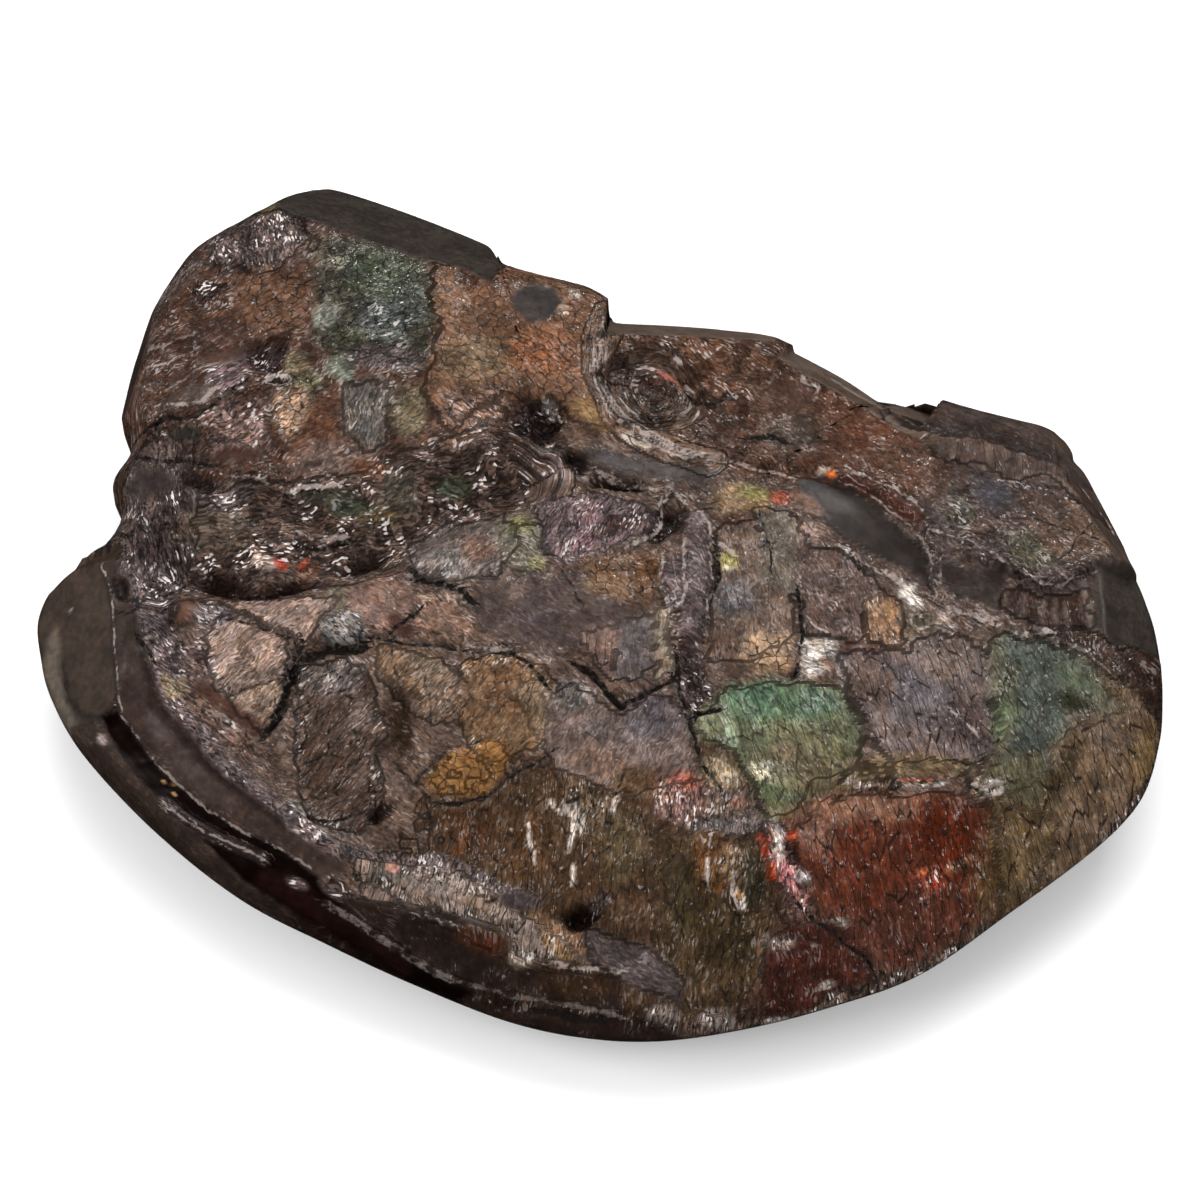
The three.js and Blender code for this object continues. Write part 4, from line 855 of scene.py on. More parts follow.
# ---- Broken shell: the brown slope at the front ----
# The front of the face slopes down in brown and olive shell with upright growth lines, and a few painted
# glints.
patch([(6.8, -26), (9.6, -25), (12.4, -27), (12, -31), (8, -31), (6.2, -28.6)], (126, 92, 82), 1.6,
      foiled=0.9)
spot((9.6, -26.4), (1.3, 1), 0, 1.0, (160, 92, 76), foiled=0.8)
spot((8.4, -29.4), (1.6, 1.1), 0, 1.0, (160, 124, 116), foiled=1.0)
spot((13.4, -25.4), (2, 1.8), 0, 0.9, (140, 122, 98), foiled=0.6)
patch([(12, -27.6), (16.6, -26.6), (18.4, -29.4), (16.4, -31.4), (11, -31.4)], (98, 82, 74), 1.2,
      foiled=0.6)
spot((15.4, -28.8), (1.4, 1), 0, 0.8, (128, 92, 78), foiled=0.2)
plate([(9.6, -31), (13.3, -30.4), (18.7, -30.4), (18.1, -32), (11.1, -32.6)], 0.6, -90, (118, 106, 102),
      0.9, 0.3, foiled=0.8)
patch([(-18.4, -28.6), (-12, -28), (-4.6, -25.6), (4.6, -28.3), (8, -31.5), (6, -36), (6, -40.1),
       (0.3, -39.5), (-8.3, -38), (-17, -35.4)], (82, 62, 46), 1.4, lined=0.9, foiled=0.15, cracked=0,
      grain=82)
spot((-14, -31.4), (3.4, 2.6), -30, 0.9, (74, 50, 34))
spot((-7, -33), (2.6, 3.6), 0, 0.9, (84, 60, 40))
spot((-1.6, -29.6), (2.8, 2.4), 0, 0.9, (98, 82, 66), foiled=0.8)
spot((2.6, -33.6), (2.4, 4), 0, 0.9, (84, 70, 50))
spot((-15, -33.6), (0.7, 2), -25, 0.8, (104, 68, 42))
patch([(6.6, -32.6), (10, -32.6), (18.4, -32.4), (18.1, -39.4), (17.8, -45), (14.7, -49.7), (9.7, -49.7),
       (6.5, -44.8), (6, -38.7)], (80, 63, 46), 1.6, lined=0.9, foiled=0.2, cracked=0, grain=80)
spot((12.4, -36), (3, 3), 0, 0.9, (112, 74, 40))
spot((9, -38.7), (2, 4.4), 8, 0.9, (74, 62, 44))
spot((13.7, -42.5), (3, 4), 0, 0.9, (70, 57, 39))
spot((16.6, -37.1), (1.4, 3), 0, 0.9, (60, 54, 40))
spot((14.4, -35.6), (1.3, 2), 0, 0.8, (120, 96, 72), foiled=0.9)
seam([(12.2, -33), (11.7, -36), (12, -38.3)], 0.16, 0.2, 0.7)
seam([(14.8, -35), (14.5, -38.6), (15.4, -41.2)], 0.2, 0.2, 0.9)
spot((15.3, -38.9), (0.25, 0.7), 0, 0.8, (206, 150, 80))
# Painted glints: short bright upright strokes on the slope.
for head, foot in (((-5, -28.2), (-3.6, -29.8)), ((-3.4, -28.6), (-2.6, -30.4)),
                   ((-2.3, -28.8), (-2.4, -31.6)), ((-2.7, -30.8), (-3, -33.8)), ((-1.7, -30.2), (-2, -32)),
                   ((-7.5, -31), (-7.2, -33.6)), ((-6.9, -33.8), (-6.8, -35.2)), ((1.7, -28), (1.3, -29.8)),
                   ((-2.8, -35.6), (-2.6, -37.4)), ((14.9, -36.4), (14.6, -38.8)),
                   ((11.9, -35.4), (11.7, -37.2)), ((15.5, -39), (15.7, -40.6))):
    stroke([head, foot], 0.2, 0.9, (214, 198, 186), foiled=0.6)
patch([(-25.4, -36.8), (-16.9, -37.4), (-10.4, -39.6), (-5.6, -42), (-9.7, -42.3), (-18, -40.7),
       (-25.6, -38.3)], (118, 98, 90), 0.9, lined=1.0, foiled=0.15, grain=66)
spot((-20.4, -38.6), (4, 0.9), -8, 0.9, (128, 108, 96))
spot((-12, -40.8), (3, 0.9), -22, 0.9, (132, 112, 104))
patch([(-6.8, -40.9), (-2.8, -41.7), (-1.2, -44), (-4.6, -44.9), (-8.1, -43.3)], (142, 108, 82), 1.2,
      foiled=0.6)
patch([(-1.4, -42), (4.5, -43.6), (10.1, -47.1), (8.7, -48.8), (3, -47.2), (-0.8, -45)], (96, 84, 84), 1.2,
      lined=0.3, foiled=0.3, grain=150)
spot((-8.4, -39), (2.4, 1.2), -10, 0.7, (110, 98, 94), foiled=0.9)
hollow((-1.4, -40.5), (2, 1.1), 0, 1.2, (32, 22, 20), 0.5)
spot((0.6, -39.5), (1.4, 1), 0, 0.8, (92, 78, 74), foiled=0.9)
patch([(18.4, -43.6), (21.5, -41), (25.3, -41.8), (28.5, -44.4), (29.8, -45.6), (27.9, -47.2),
       (25.4, -48.6), (21, -50), (17.8, -50.4), (18.2, -46.3)], (70, 38, 31), 1.2, foiled=0.15, lined=0.6,
      grain=100)
spot((20, -43.2), (1.6, 0.6), 10, 0.9, (142, 122, 114), foiled=1.0)

# The wrinkled hem of the shell along the front edge.
hem = [(5.3, -50.9), (13.8, -51), (21, -49.9), (31.7, -46.2), (38.2, -43.2), (44.8, -39.4), (54.8, -32.4),
       (61.9, -24), (63.8, -18.8)]
hem_cover = strip(hem, 0.6, 0.8)
paint(hem_cover, (94, 78, 70), cracked=0, lined=0.9, foiled=1.0, polished=0)
for at, size in (((7, -50), (1.7, 0.8)), ((13, -50.3), (1.8, 0.8)), ((20, -50), (1.4, 0.5)),
                 ((24.6, -47.2), (1, 0.4))):
    spot(at, size, 0, 0.8, (164, 150, 144), foiled=1.0)


# ---- Broken shell: the plates of the left ----
# Pale tan plates with open joints between them lie on the left, where the shell is thickest. They end at the
# crest above the cut layers.
plate([(-43.8, -4.6), (-37.6, -3.7), (-32, -4.6), (-28.4, -5.2), (-30, -8), (-32.8, -11.1), (-34.6, -9.4),
       (-39.1, -6.5)], 0.5, -70, (156, 131, 120), 0.9, 0.6, lined=0.3, foiled=0.35, cracked=0.1, grain=40)
plate([(-43.8, -9.7), (-42.5, -7.4), (-39.1, -6.7), (-34.5, -9.8), (-34.1, -14.5), (-36.9, -17.6),
       (-40, -16.8), (-42.4, -14.2)], 0.8, -50, (156, 131, 119), 0.9, 0.6, lined=0.3, foiled=0.4,
      cracked=0.1, grain=40)
plate([(-39.8, -15.6), (-35.4, -14), (-34.4, -15.6), (-36.6, -20.6), (-39.8, -18)], 0.7, -40,
      (152, 128, 112), 0.9, 0.5, lined=0.6, foiled=0.3, grain=48)
spot((-44.4, -11.8), (1.7, 2.4), 20, 0.8, (112, 92, 90), foiled=0.9)
spot((-42.6, -6.6), (2, 1.8), 0, 0.9, (124, 112, 114), foiled=0.8)
plate([(-47.6, -15), (-46.4, -13.2), (-44.6, -14.6), (-42.6, -16.6), (-41, -18.8), (-37.6, -21.6),
       (-38.2, -23.4), (-42.2, -20.2), (-46, -17)], 0.6, -50, (118, 94, 84), 0.8, 0.6, lined=0.1,
      foiled=0.6, cracked=0.3)
spot((-46.3, -14.4), (1.4, 1.1), -30, 0.6, (142, 124, 108), foiled=0.2)
spot((-38.6, -13.4), (1.6, 1), 20, 0.8, (160, 136, 122), foiled=0.7)
stroke([(-43.6, -14.6), (-41, -17), (-38, -19.4)], 0.9, 0.8, (84, 58, 48), cracked=0, lined=0, foiled=0,
       polished=0.3)
crack([(-42, -7.2), (-37.4, -8.6), (-33.8, -10)], 0.18, 0.4, 0.8)
crack([(-33.2, -10.4), (-34, -14), (-35, -17.4), (-37, -20.4)], 0.42, 1.0, 0.9)
crack([(-40.4, -15.8), (-36.4, -14.6), (-34.4, -14.2)], 0.14, 0.3, 0.7)
spot((-33.3, -29.3), (1.9, 1.6), 0, 0.7, (130, 122, 116), foiled=0.8)
z += 0.8 * oval((-33.1, -29.2), (2, 1.7), 0, 1.0)
crack([(-31.3, -30), (-28.6, -30.2), (-25.8, -29)], 0.22, 0.5, 0.8)
hollow((-23.6, -29.2), (1.6, 0.8), 20, 0.9, (34, 24, 20), 0.1)
crack([(-21.4, -24), (-18.6, -27.6), (-18.4, -31)], 0.2, 0.4, 0.7)


# ---- Broken shell: the terraces at the back right ----
# The stone steps down at the back right. A slate-grey plate and brown ones lie on the upper step. Below its
# broken front edge lie a dark slab and a riser with upright scratches.
upper_step = [(42, 9), (43.3, 10.8), (47.3, 11), (50.3, 9.6), (54.4, 7.8), (58.2, 4.8), (59.4, 2.4),
              (57.6, 0), (54.2, -1.4), (50.4, -3.3), (47.3, -3), (44.5, -0.6), (41.5, 0.4), (41, 5)]
plate(upper_step, 2.2, -100, (82, 68, 65), 0.8, 0.4, cracked=0.3, lined=0.1, foiled=0.25)
patch([(42.9, 11), (47.1, 9.8), (47.2, 6.8), (45, 5.1), (43, 6.9)], (74, 67, 68), 0.8, foiled=0.1,
      polished=0.3)
spot((45, 8.6), (1.6, 1.2), 0, 0.8, (70, 66, 74))
patch([(48, 9), (54, 7.4), (58.4, 3.4), (58, 0.6), (52.6, -0.2), (48.6, 0.4)], (98, 78, 66), 0.9,
      cracked=0.4, foiled=0.25)
spot((50.6, 6.8), (2.4, 1.6), -20, 0.8, (84, 68, 62))
spot((56, 3.4), (1.8, 1.2), 0, 0.8, (112, 90, 74))
patch([(44.6, 2.6), (49, 3.4), (51.4, -0.6), (48.6, -2.2), (46, -0.6)], (88, 84, 70), 1.2, foiled=0.5)
spot((40.6, 6), (2, 2.6), 0, 0.8, (92, 86, 78), foiled=0.6)
spot((43.6, 3), (2.4, 1.4), 0, 0.8, (84, 68, 62), foiled=0.6)
crack([(49.2, 5.2), (54.3, 3.2), (59.1, 1.9)], 0.13, 0.3, 0.9)
crack([(54.3, 3.2), (56.2, 5.9)], 0.13, 0.3, 0.9)
crack([(51.2, -0.5), (54.3, 3.2)], 0.11, 0.3, 0.8)
crack([(47.3, 10), (47.4, 6.6), (45, 5)], 0.12, 0.3, 0.7)
seam([(37.1, 3.6), (41, 2.3), (43.8, 0.6), (46, -1.7), (48.3, -2.8), (51.1, -3.2), (54, -1.6),
      (58.4, -0.2)], 0.11, 0.3, 0.6)
seam([(38.8, 4.6), (42, 3.4), (44.8, 1.9), (46.5, -0.4), (49.3, -1.8)], 0.09, 0.2, 0.5)
spot((56.4, -0.6), (0.7, 0.3), 0, 0.5, (220, 208, 200))

# Behind the step the stone is broken away down to a lower terrace.
STEP_HEIGHT = 15.6
lower_terrace = [(33, 18.5), (42, 15.6), (52.5, 13), (56, 10.5), (70, 12), (62, 32), (34, 34)]
below_step = step_up(depth_inside(lower_terrace), 0.8)
z = np.where((below_step > 0.5) & (z > STEP_HEIGHT), STEP_HEIGHT + 0.3 * cloud(x, y, 2.4, 12), z)
paint(below_step, (68, 54, 48), cracked=0, lined=0.2, foiled=0.1, polished=0.6)


# ---- The rough skin ----
# Where the shell is crushed or gone the surface is finely folded and pitted, and elsewhere it is
# almost smooth. The whole face rolls down to the widest line at its edge.
# Height and length of the folds, and of the pits, ripples and waves under them.
FOLD_HEIGHT, FOLD_LENGTH = 0.34, 1.9
PIT_HEIGHT, PIT_LENGTH = 0.06, 1.3
RIPPLE_HEIGHT, RIPPLE_LENGTH = 0.12, 3
WAVE_HEIGHT, WAVE_LENGTH = 0.35, 9
z += (foil * FOLD_HEIGHT * rugged(x, y, FOLD_LENGTH, 8)
      + (1 - polish) * PIT_HEIGHT * cloud(x, y, PIT_LENGTH, 9))
z += (1 - polish) * (RIPPLE_HEIGHT * cloud(x, y, RIPPLE_LENGTH, 10)
                     + WAVE_HEIGHT * cloud(x, y, WAVE_LENGTH, 6))

# The slope down to the widest line.
bearings = bearing_of(x, y)
rim_height, slope_width, roundness, _ = edge_at(bearings)
inside = rim_reach(bearings) - np.hypot(x - MIDDLE[0], y - MIDDLE[1])
share = np.clip(inside / slope_width, 0, 1)
z = rim_height + (z - rim_height) * (1 - (1 - share) ** roundness) ** (1 / roundness)
# Extra length of the shell's pattern down the steep sides, so that it isn't drawn out there.
PATTERN_ROLL, STEEP_WIDTH, STEEP_FADE = 9, 9, 4
rolled = PATTERN_ROLL * (1 - share) * np.clip((STEEP_WIDTH - slope_width) / STEEP_FADE, 0, 1)


# ---- Ground flats ----
# Flats that a lap ground on the edge and polished: each takes away what stands over its plane.
# Place, bearing it faces, slope, half length, colour.
# The lighter colours of the flats that face the back are painted reflection of the bright room on their
# polish.
FLATS = [
    ((-28.7, 40.6, 24), 71, 40, 18, (59, 52, 46)),
    ((-54.5, -9, 18.6), 186, 38, 11, (66, 53, 45)),
    ((-52.5, 28, 21), 170, 70, 14, (63, 49, 43)),
    ((12, 30, 19), 86, 52, 11, (99, 84, 74)),
    ((29, 22.5, 18.5), 57, 50, 9, (99, 84, 74)),
    ((57.5, 6.5, 18), 28, 55, 14, (84, 68, 58)),
    ((58, -5, 19), 0, 45, 5, (62, 55, 48)),
]
for place, bearing, slope, half, colour in FLATS:
    outward, sideways = turned_offset(x, y, place[:2], bearing)
    plane = place[2] - outward * math.tan(math.radians(slope))
    over = step_up(z - plane, 0.3) * (np.abs(sideways) < half)
    z = np.where(over > 0.5, plane, z)
    paint(over, colour, cracked=0, lined=0.05, foiled=0.02, polished=1)
    line_dark *= 1 - over
    seam_light *= 1 - over


# ---- Cut layers: the tip and the front left ----
# Where the lap cut across the layers at the front left, a grey-brown strip and a near-black, glassy trough
# lie side by side. Further right the layers show as thin steps with crumpled edges, painted whitish as
# highlights.
patch([(-56, 0.3), (-59.2, -1.6), (-61, -4.8), (-60.5, -9.7), (-59.4, -13.9), (-57.1, -16.5),
       (-55.1, -17.4), (-53.2, -16.6), (-53.8, -11.2), (-54.6, -4.9), (-55.3, -1.8)], (66, 54, 46), 0.6,
      cracked=0, lined=0, foiled=0, grain=0)
# Painted reflection of the white table: the steep outer bevel round the tip is coloured a light grey-brown.
patch([(-62.8, -6), (-61.6, -5), (-60.7, -11), (-59.1, -14.8), (-58, -18), (-56.5, -20.8), (-54.5, -22.9),
       (-56.5, -22.6), (-59.9, -18.4), (-62.5, -12.6), (-63.6, -9)], (98, 88, 79), 0.9, cracked=0, lined=0,
      foiled=0)
stroke([(-60.5, -9.7), (-59.4, -14.1), (-57.1, -16.7), (-55.1, -17.6)], 0.35, 1.0, (50, 41, 36), cracked=0,
       lined=0, foiled=0)
seam([(-56, 0.3), (-54.8, -2.4), (-54.2, -5.7), (-53.9, -8.6), (-53.5, -11.2), (-53.2, -13.9),
      (-52.7, -17.1)], 0.12, 0.1, 0.7)
# A painted glint on the tip.
spot((-60, -3.5), (0.3, 0.2), 0, 0.7, (150, 142, 130))
outer_slope = [(-59, -17.6), (-55.1, -17.4), (-54.6, -18.8), (-53.1, -21.2), (-50.8, -24.3), (-47.7, -27.2),
               (-43, -31.8), (-38.4, -35.9), (-34.6, -38.2), (-29.4, -40.8), (-23.8, -43.8), (-19.7, -45.9),
               (-15.5, -47.7), (-8, -49.4), (3, -50.8), (9, -51.2), (9, -56), (-20, -53), (-45, -40),
               (-60, -25)]
patch(outer_slope, (60, 47, 40), 0.5, cracked=0, lined=0.1, foiled=0.06, polished=0.7)
stroke([(-32, -41), (-20, -47), (-6, -51), (6, -52.4)], 2.6, 1.0, (46, 32, 26))
stroke([(-50.5, 2), (-50.4, -4), (-49.4, -8), (-48.4, -12)], 2.4, 0.8, (82, 70, 72), cracked=0, lined=0,
       foiled=1.0, polished=0)
strip_outline = [(-54.8, -2.4), (-53.7, 1), (-52.7, -1.8), (-51.4, -4.3), (-50.3, -7.8), (-49.6, -11.2),
                 (-48.2, -13.9), (-46.5, -17.4), (-44, -21), (-40.4, -25.2), (-35.7, -28.8), (-30.6, -33.1),
                 (-27, -35.8), (-29.6, -36.2), (-34.4, -32.9), (-40, -29.7), (-44.4, -27), (-47.6, -23.8),
                 (-50.3, -20.2), (-52.8, -17.2), (-53.4, -13.9), (-54, -8.6)]
patch(strip_outline, (67, 53, 48), 0.6, cracked=0, lined=0.1, foiled=0.05, polished=0.8)
spot((-48.2, -19.2), (2.2, 1.1), -50, 0.9, (84, 70, 68))
spot((-43, -25.4), (3.6, 1), -40, 0.9, (80, 66, 62))
spot((-51.6, -8), (0.9, 3), 0, 0.9, (62, 50, 44))
groove = [(-50.4, -9.8), (-49.6, -12.5), (-49.1, -14.7), (-48.7, -16.6), (-47.4, -18.2), (-45.2, -20.6),
          (-42.8, -23.3), (-40.2, -25.6), (-37.6, -27.6), (-33.6, -30.6)]
stroke(groove, 0.75, 1.0, (48, 35, 31), cracked=0, lined=0, foiled=0, polished=0.7, strength=0.8)
crest = [(-52.5, -0.5), (-51, -4.2), (-49.8, -7.9), (-48.7, -11.7), (-47.5, -14.9), (-46.2, -17.2),
         (-44, -19.6), (-41.6, -22.9), (-38.8, -25.4), (-35.2, -28.1), (-32.2, -30.9), (-28.8, -33.4),
         (-25.2, -34.5), (-19, -34.9), (-13, -37.3), (-9.5, -38.8)]
crest_cover = strip(crest, 0.95, 0.8)
z += 0.5 * crest_cover
paint(crest_cover * 0.9, (106, 92, 92), cracked=0, lined=0, foiled=1.0, polished=0)
hollow((-53.3, -3.2), (0.7, 1.3), 10, 0.5, (34, 24, 22), 0.1)
crack([(-50.9, -9.4), (-49.9, -10.9), (-48.9, -12.2)], 0.26, 0.5)
spot((-49.2, -10.2), (0.9, 0.9), 0, 0.5, (112, 98, 96), foiled=0.6)
spot((-49.2, -10.2), (0.4, 0.4), 0, 0.6, (40, 30, 28), foiled=0)
spot((-46, -9.8), (0.5, 0.4), 0, 0.6, (30, 22, 22))
plate([(-47.9, -13.6), (-46.8, -14.5), (-45.5, -14.8), (-45.6, -15.8), (-46.7, -16.5), (-47.5, -15.6)], 0.4,
      -120, (146, 128, 102), 0.5, 0.6, foiled=0.3)
seam([(-43.1, -17.7), (-41.7, -18.3), (-40.1, -19.7), (-39.3, -21.6)], 0.3, 0.4, 0.5)
trough = [(-55.1, -17.4), (-53.2, -16.7), (-51.4, -18.8), (-49.1, -22.1), (-46.1, -25.3), (-42.8, -28),
          (-38.8, -30.6), (-34.4, -32.9), (-30.5, -35.7), (-27, -38.6), (-24.5, -41.5), (-19.7, -44.3),
          (-16, -46), (-12.8, -47.4), (-15.5, -47.9), (-19.7, -45.9), (-23.8, -43.8), (-29.4, -40.8),
          (-34.6, -38.2), (-38.4, -35.9), (-43, -31.8), (-47.7, -27.2), (-50.8, -24.3), (-53.1, -21.2),
          (-54.6, -18.8)]
patch(trough, (24, 9, 5), 0.5, cracked=0, lined=0, foiled=0, polished=1)
stroke([(-36, -36), (-29, -39.8), (-21, -44)], 1.1, 1.0, (44, 17, 12), strength=0.7)
seam([(-53, -17.2), (-51.4, -18.9), (-49.1, -22.2), (-46.1, -25.4), (-42.8, -28.2), (-38.8, -30.8),
      (-34.4, -33.1), (-31, -35.2)], 0.12, 0.2, 0.5)
for at in ((-47.6, -24.9), (-46.7, -25.4), (-46.5, -26.4)):
    spot(at, (0.32, 0.12), -40, 0.9, (176, 138, 84), foiled=0.6)
steps = [(-47.5, -27.4), (-45.6, -29), (-43.7, -30.3), (-41.4, -31.5), (-38.2, -32.8), (-36.2, -34)]
steps_cover = strip(steps, 0.6, 0.8)
z += 0.5 * steps_cover
paint(steps_cover * 0.5, (74, 58, 54), foiled=1.0, polished=0)
seam(steps, 0.12, 0.2, 0.6)
for at, size, turn in (((-32.5, -36.5), (1.3, 0.5), -20), ((-28.3, -37.4), (1.9, 0.8), -30)):
    scraps = oval(at, size, turn, 0.7)
    z += 0.2 * scraps
    paint(scraps * 0.9, (88, 72, 68), cracked=0, lined=0, foiled=1.0, polished=0)
spot((-54.8, -20), (0.45, 0.7), 20, 0.6, (150, 132, 126), foiled=0.5)
midband = [(-27.5, -37.8), (-20.6, -40.1), (-15.3, -42), (-9.9, -44.5), (-7.3, -45.5), (2.4, -46.8),
           (2.5, -49.8), (-5.6, -48), (-12.7, -46.7), (-16, -45.6), (-19.7, -43.8), (-24.5, -41.1),
           (-27, -39.5)]
patch(midband, (48, 36, 31), 0.9, cracked=0, lined=0.4, foiled=0.1, polished=0.5, grain=88)
spot((-12.4, -43), (3, 0.9), -18, 0.8, (76, 44, 30))
spot((-2, -47), (4, 1.2), -8, 0.9, (62, 42, 26))
seam([(-29.5, -38.6), (-26.7, -40.2), (-24.5, -41.7), (-22.4, -42.8), (-19.7, -44.2), (-17.3, -45.4),
      (-16, -46)], 0.3, 0.35, 0.3)
seam([(-16, -46), (-12.7, -46.8), (-9.2, -47.9), (-5.7, -48.2), (-1.9, -49.2), (2.5, -50.2)], 0.2, 0.3,
     0.22)
crack([(-6.7, -49.2), (-4.6, -49.4), (-1.9, -50.2), (0.8, -50.5)], 0.3, 0.4)
lined_band = [(-26.1, -34.9), (-22, -35.3), (-19.1, -35.6), (-15.3, -36.8), (-12.5, -38.3), (-9.9, -39.1),
              (-9.1, -40.4), (-5.9, -41.7), (-3.2, -43.4), (-1.3, -44.9), (-4.5, -44.7), (-7.2, -45.1),
              (-9.1, -44.2), (-9.4, -43), (-10.7, -41.8), (-14.4, -41.1), (-17.1, -40.4), (-20.6, -39.7),
              (-23.3, -37.8), (-26.1, -36.6)]
plate(lined_band, 0.7, -120, (132, 115, 106), 0.6, 0.3, cracked=0.2, lined=1.0, foiled=0.15, polished=0,
      grain=78)
spot((-22, -36.8), (2.6, 1.2), -10, 0.9, (94, 86, 80), strength=0.9)
spot((-12.6, -39.9), (2.6, 1.2), -20, 0.9, (142, 122, 108), strength=0.8)
patch([(-6.1, -42), (-3.7, -43.3), (-1.9, -44.8), (-3.7, -44.8), (-5.9, -43.9)], (150, 118, 86), 0.6,
      cracked=0.5)
spot((-8.2, -44.4), (1.4, 0.8), -10, 0.7, (176, 160, 148), foiled=1.0)
seam([(-19, -40.6), (-17.4, -40.9), (-15.8, -41.5)], 0.28, 0.2, 0.8)
seam([(-5, -45.1), (-2, -45.5), (2.4, -46.1)], 0.24, 0.2, 0.8)
spot((-21.9, -35.8), (0.75, 0.65), 0, 0.5, (190, 138, 122), cracked=0, lined=0, foiled=0)
z += 0.5 * oval((-8.5, -39.2), (1.9, 1.2), 0, 1.0)
spot((-8.5, -39.2), (1.8, 1.1), 0, 0.6, (72, 60, 62), cracked=0, lined=0, foiled=0.2, polished=0.4)
hollow((-1.9, -41.2), (1.7, 0.9), 0, 1.0, (32, 22, 20), 0.5)


# ---- Cut layers: the back right ----
# The saw and the lap left a bevel with upright scratches at the back, and a dark polished block with a
# scratched riser in front of it.
patch([(32.8, 20.2), (37.2, 21), (45.8, 19.6), (53.3, 17), (57, 12), (54.4, 12.2), (52.1, 13), (45.5, 14.9),
       (41.8, 16.1), (37.7, 16.9), (35.7, 18.5)], (60, 47, 42), 0.6, cracked=0, lined=0, foiled=0.35,
      polished=0.5)
patch([(37.7, 16.8), (41.8, 16), (45.5, 14.8), (49.3, 13.9), (52.8, 12.8), (56.6, 9), (58.6, 5),
       (56.4, 6.3), (54.2, 8.4), (51.9, 10.1), (49.1, 11.3), (47.1, 10), (43, 12), (40.2, 12.9),
       (37.9, 14.6)], (76, 59, 51), 0.5, cracked=0, lined=0.8, foiled=0, polished=0.6, grain=95)
seam([(37.2, 16.2), (37.9, 16.9), (41.8, 16.1), (45.5, 14.9), (49.3, 14), (52.8, 13), (54.9, 11.6),
      (56.9, 8.8), (59, 5)], 0.14, 0.1, 0.8)
for head, foot in (((39.4, 16.2), (39.2, 14.4)), ((40.6, 15.9), (40.4, 13.6)), ((44.6, 14.8), (44.4, 12.6)),
                   ((46.4, 14.4), (46.2, 11.6)), ((48.6, 13.8), (48.4, 11.8)), ((42.2, 15.6), (42.1, 14))):
    stroke([head, foot], 0.3, 0.9, (112, 96, 87), strength=0.6)
stroke([(43, 11.8), (47.1, 10.1), (49.1, 11.5), (52, 10.3), (54.4, 8.6)], 0.3, 0.9, (120, 104, 96),
       strength=0.6)
# Painted reflection: a lighter polished band along the back bevel.
stroke([(26.6, 24.8), (31, 21.4), (34.5, 18.6), (37.8, 15.8)], 0.9, 0.5, (92, 76, 66), cracked=0, lined=0,
       foiled=0, polished=0.8)
# Painted highlight along the bevel's edge.
stroke([(27.6, 25.4), (32, 22.2), (35, 19.6), (38.2, 17)], 0.3, 0.8, (128, 114, 104))
patch([(38.6, -0.1), (41.8, -1.3), (45.1, -0.7), (45.4, -3.6), (44.8, -6), (41.6, -4.7), (39.1, -4)],
      (54, 44, 39), 0.5, cracked=0, lined=0, foiled=0, polished=0.7)
seam([(38.6, -0.1), (38.8, -1.8), (38.9, -4.1)], 0.15, 0.1, 0.5)
patch([(45.2, -3.6), (49.1, -3.8), (54.8, -3.3), (55.1, -8.7), (50.7, -7.8), (47.1, -6.7), (45.2, -6)],
      (58, 40, 33), 0.5, cracked=0, lined=0.7, foiled=0.05, polished=0.4, grain=92)
for head, foot in (((45.6, -4), (45.7, -6.2)), ((47.7, -4.2), (47.6, -7)), ((49.8, -4.8), (49.8, -7.4)),
                   ((51.2, -4.4), (51.2, -7)), ((52.4, -4.6), (52.5, -6.9))):
    stroke([head, foot], 0.24, 0.9, (104, 88, 80), strength=0.7)
stroke([(54.5, -2.6), (54.8, -5.6), (55.2, -8.6)], 0.55, 0.6, (106, 94, 88), cracked=0, lined=0, foiled=0,
       polished=0.5, strength=0.8)
patch([(55.7, -1.6), (57.4, -0.6), (60.4, 1.2), (62.6, -2.6), (64.6, -7.3), (64.6, -9.6), (58.1, -9.7),
       (55.4, -8.7)], (61, 53, 47), 0.4, cracked=0, lined=0, foiled=0, polished=0.9)
wedge = [(47, -8.3), (50.6, -9.3), (53.8, -10.7), (57.4, -13.5), (60.5, -15), (63, -17.4), (65, -18),
         (65, -9.6), (62.8, -9.5), (58.1, -9.9), (55.1, -8.9), (50.7, -8)]
patch(wedge, (62, 46, 38), 0.8, cracked=0, lined=0.3, foiled=0.35, polished=0.2, grain=100)
seam([(39.1, -6.8), (40.1, -6.1), (41.5, -6.2), (43.3, -7.3), (45.1, -7.8)], 0.22, 0.3, 0.9)
seam([(46.5, -8.8), (48.4, -8.4), (50.7, -9.2), (53.8, -10.8), (57.4, -13.6)], 0.14, 0.2, 0.7)


# ---- The mesh ----
# Heights, colours and finish go on the mesh as they are, corner by corner. The belly below the widest line is
# bare ironstone, ground smooth.
corners[:face_corners, 2] = z
slab_mesh.vertices.foreach_set("co", (corners * MM).ravel())
for polygon in slab_mesh.polygons:
    polygon.use_smooth = True


def corner_layer(name, values, fill):
    """A value for each corner of the face, and one value for the belly."""
    layer = slab_mesh.attributes.new(name, "FLOAT", "POINT")
    data = np.full(len(slab_mesh.vertices), float(fill))
    data[:face_corners] = values
    layer.data.foreach_set("value", data)


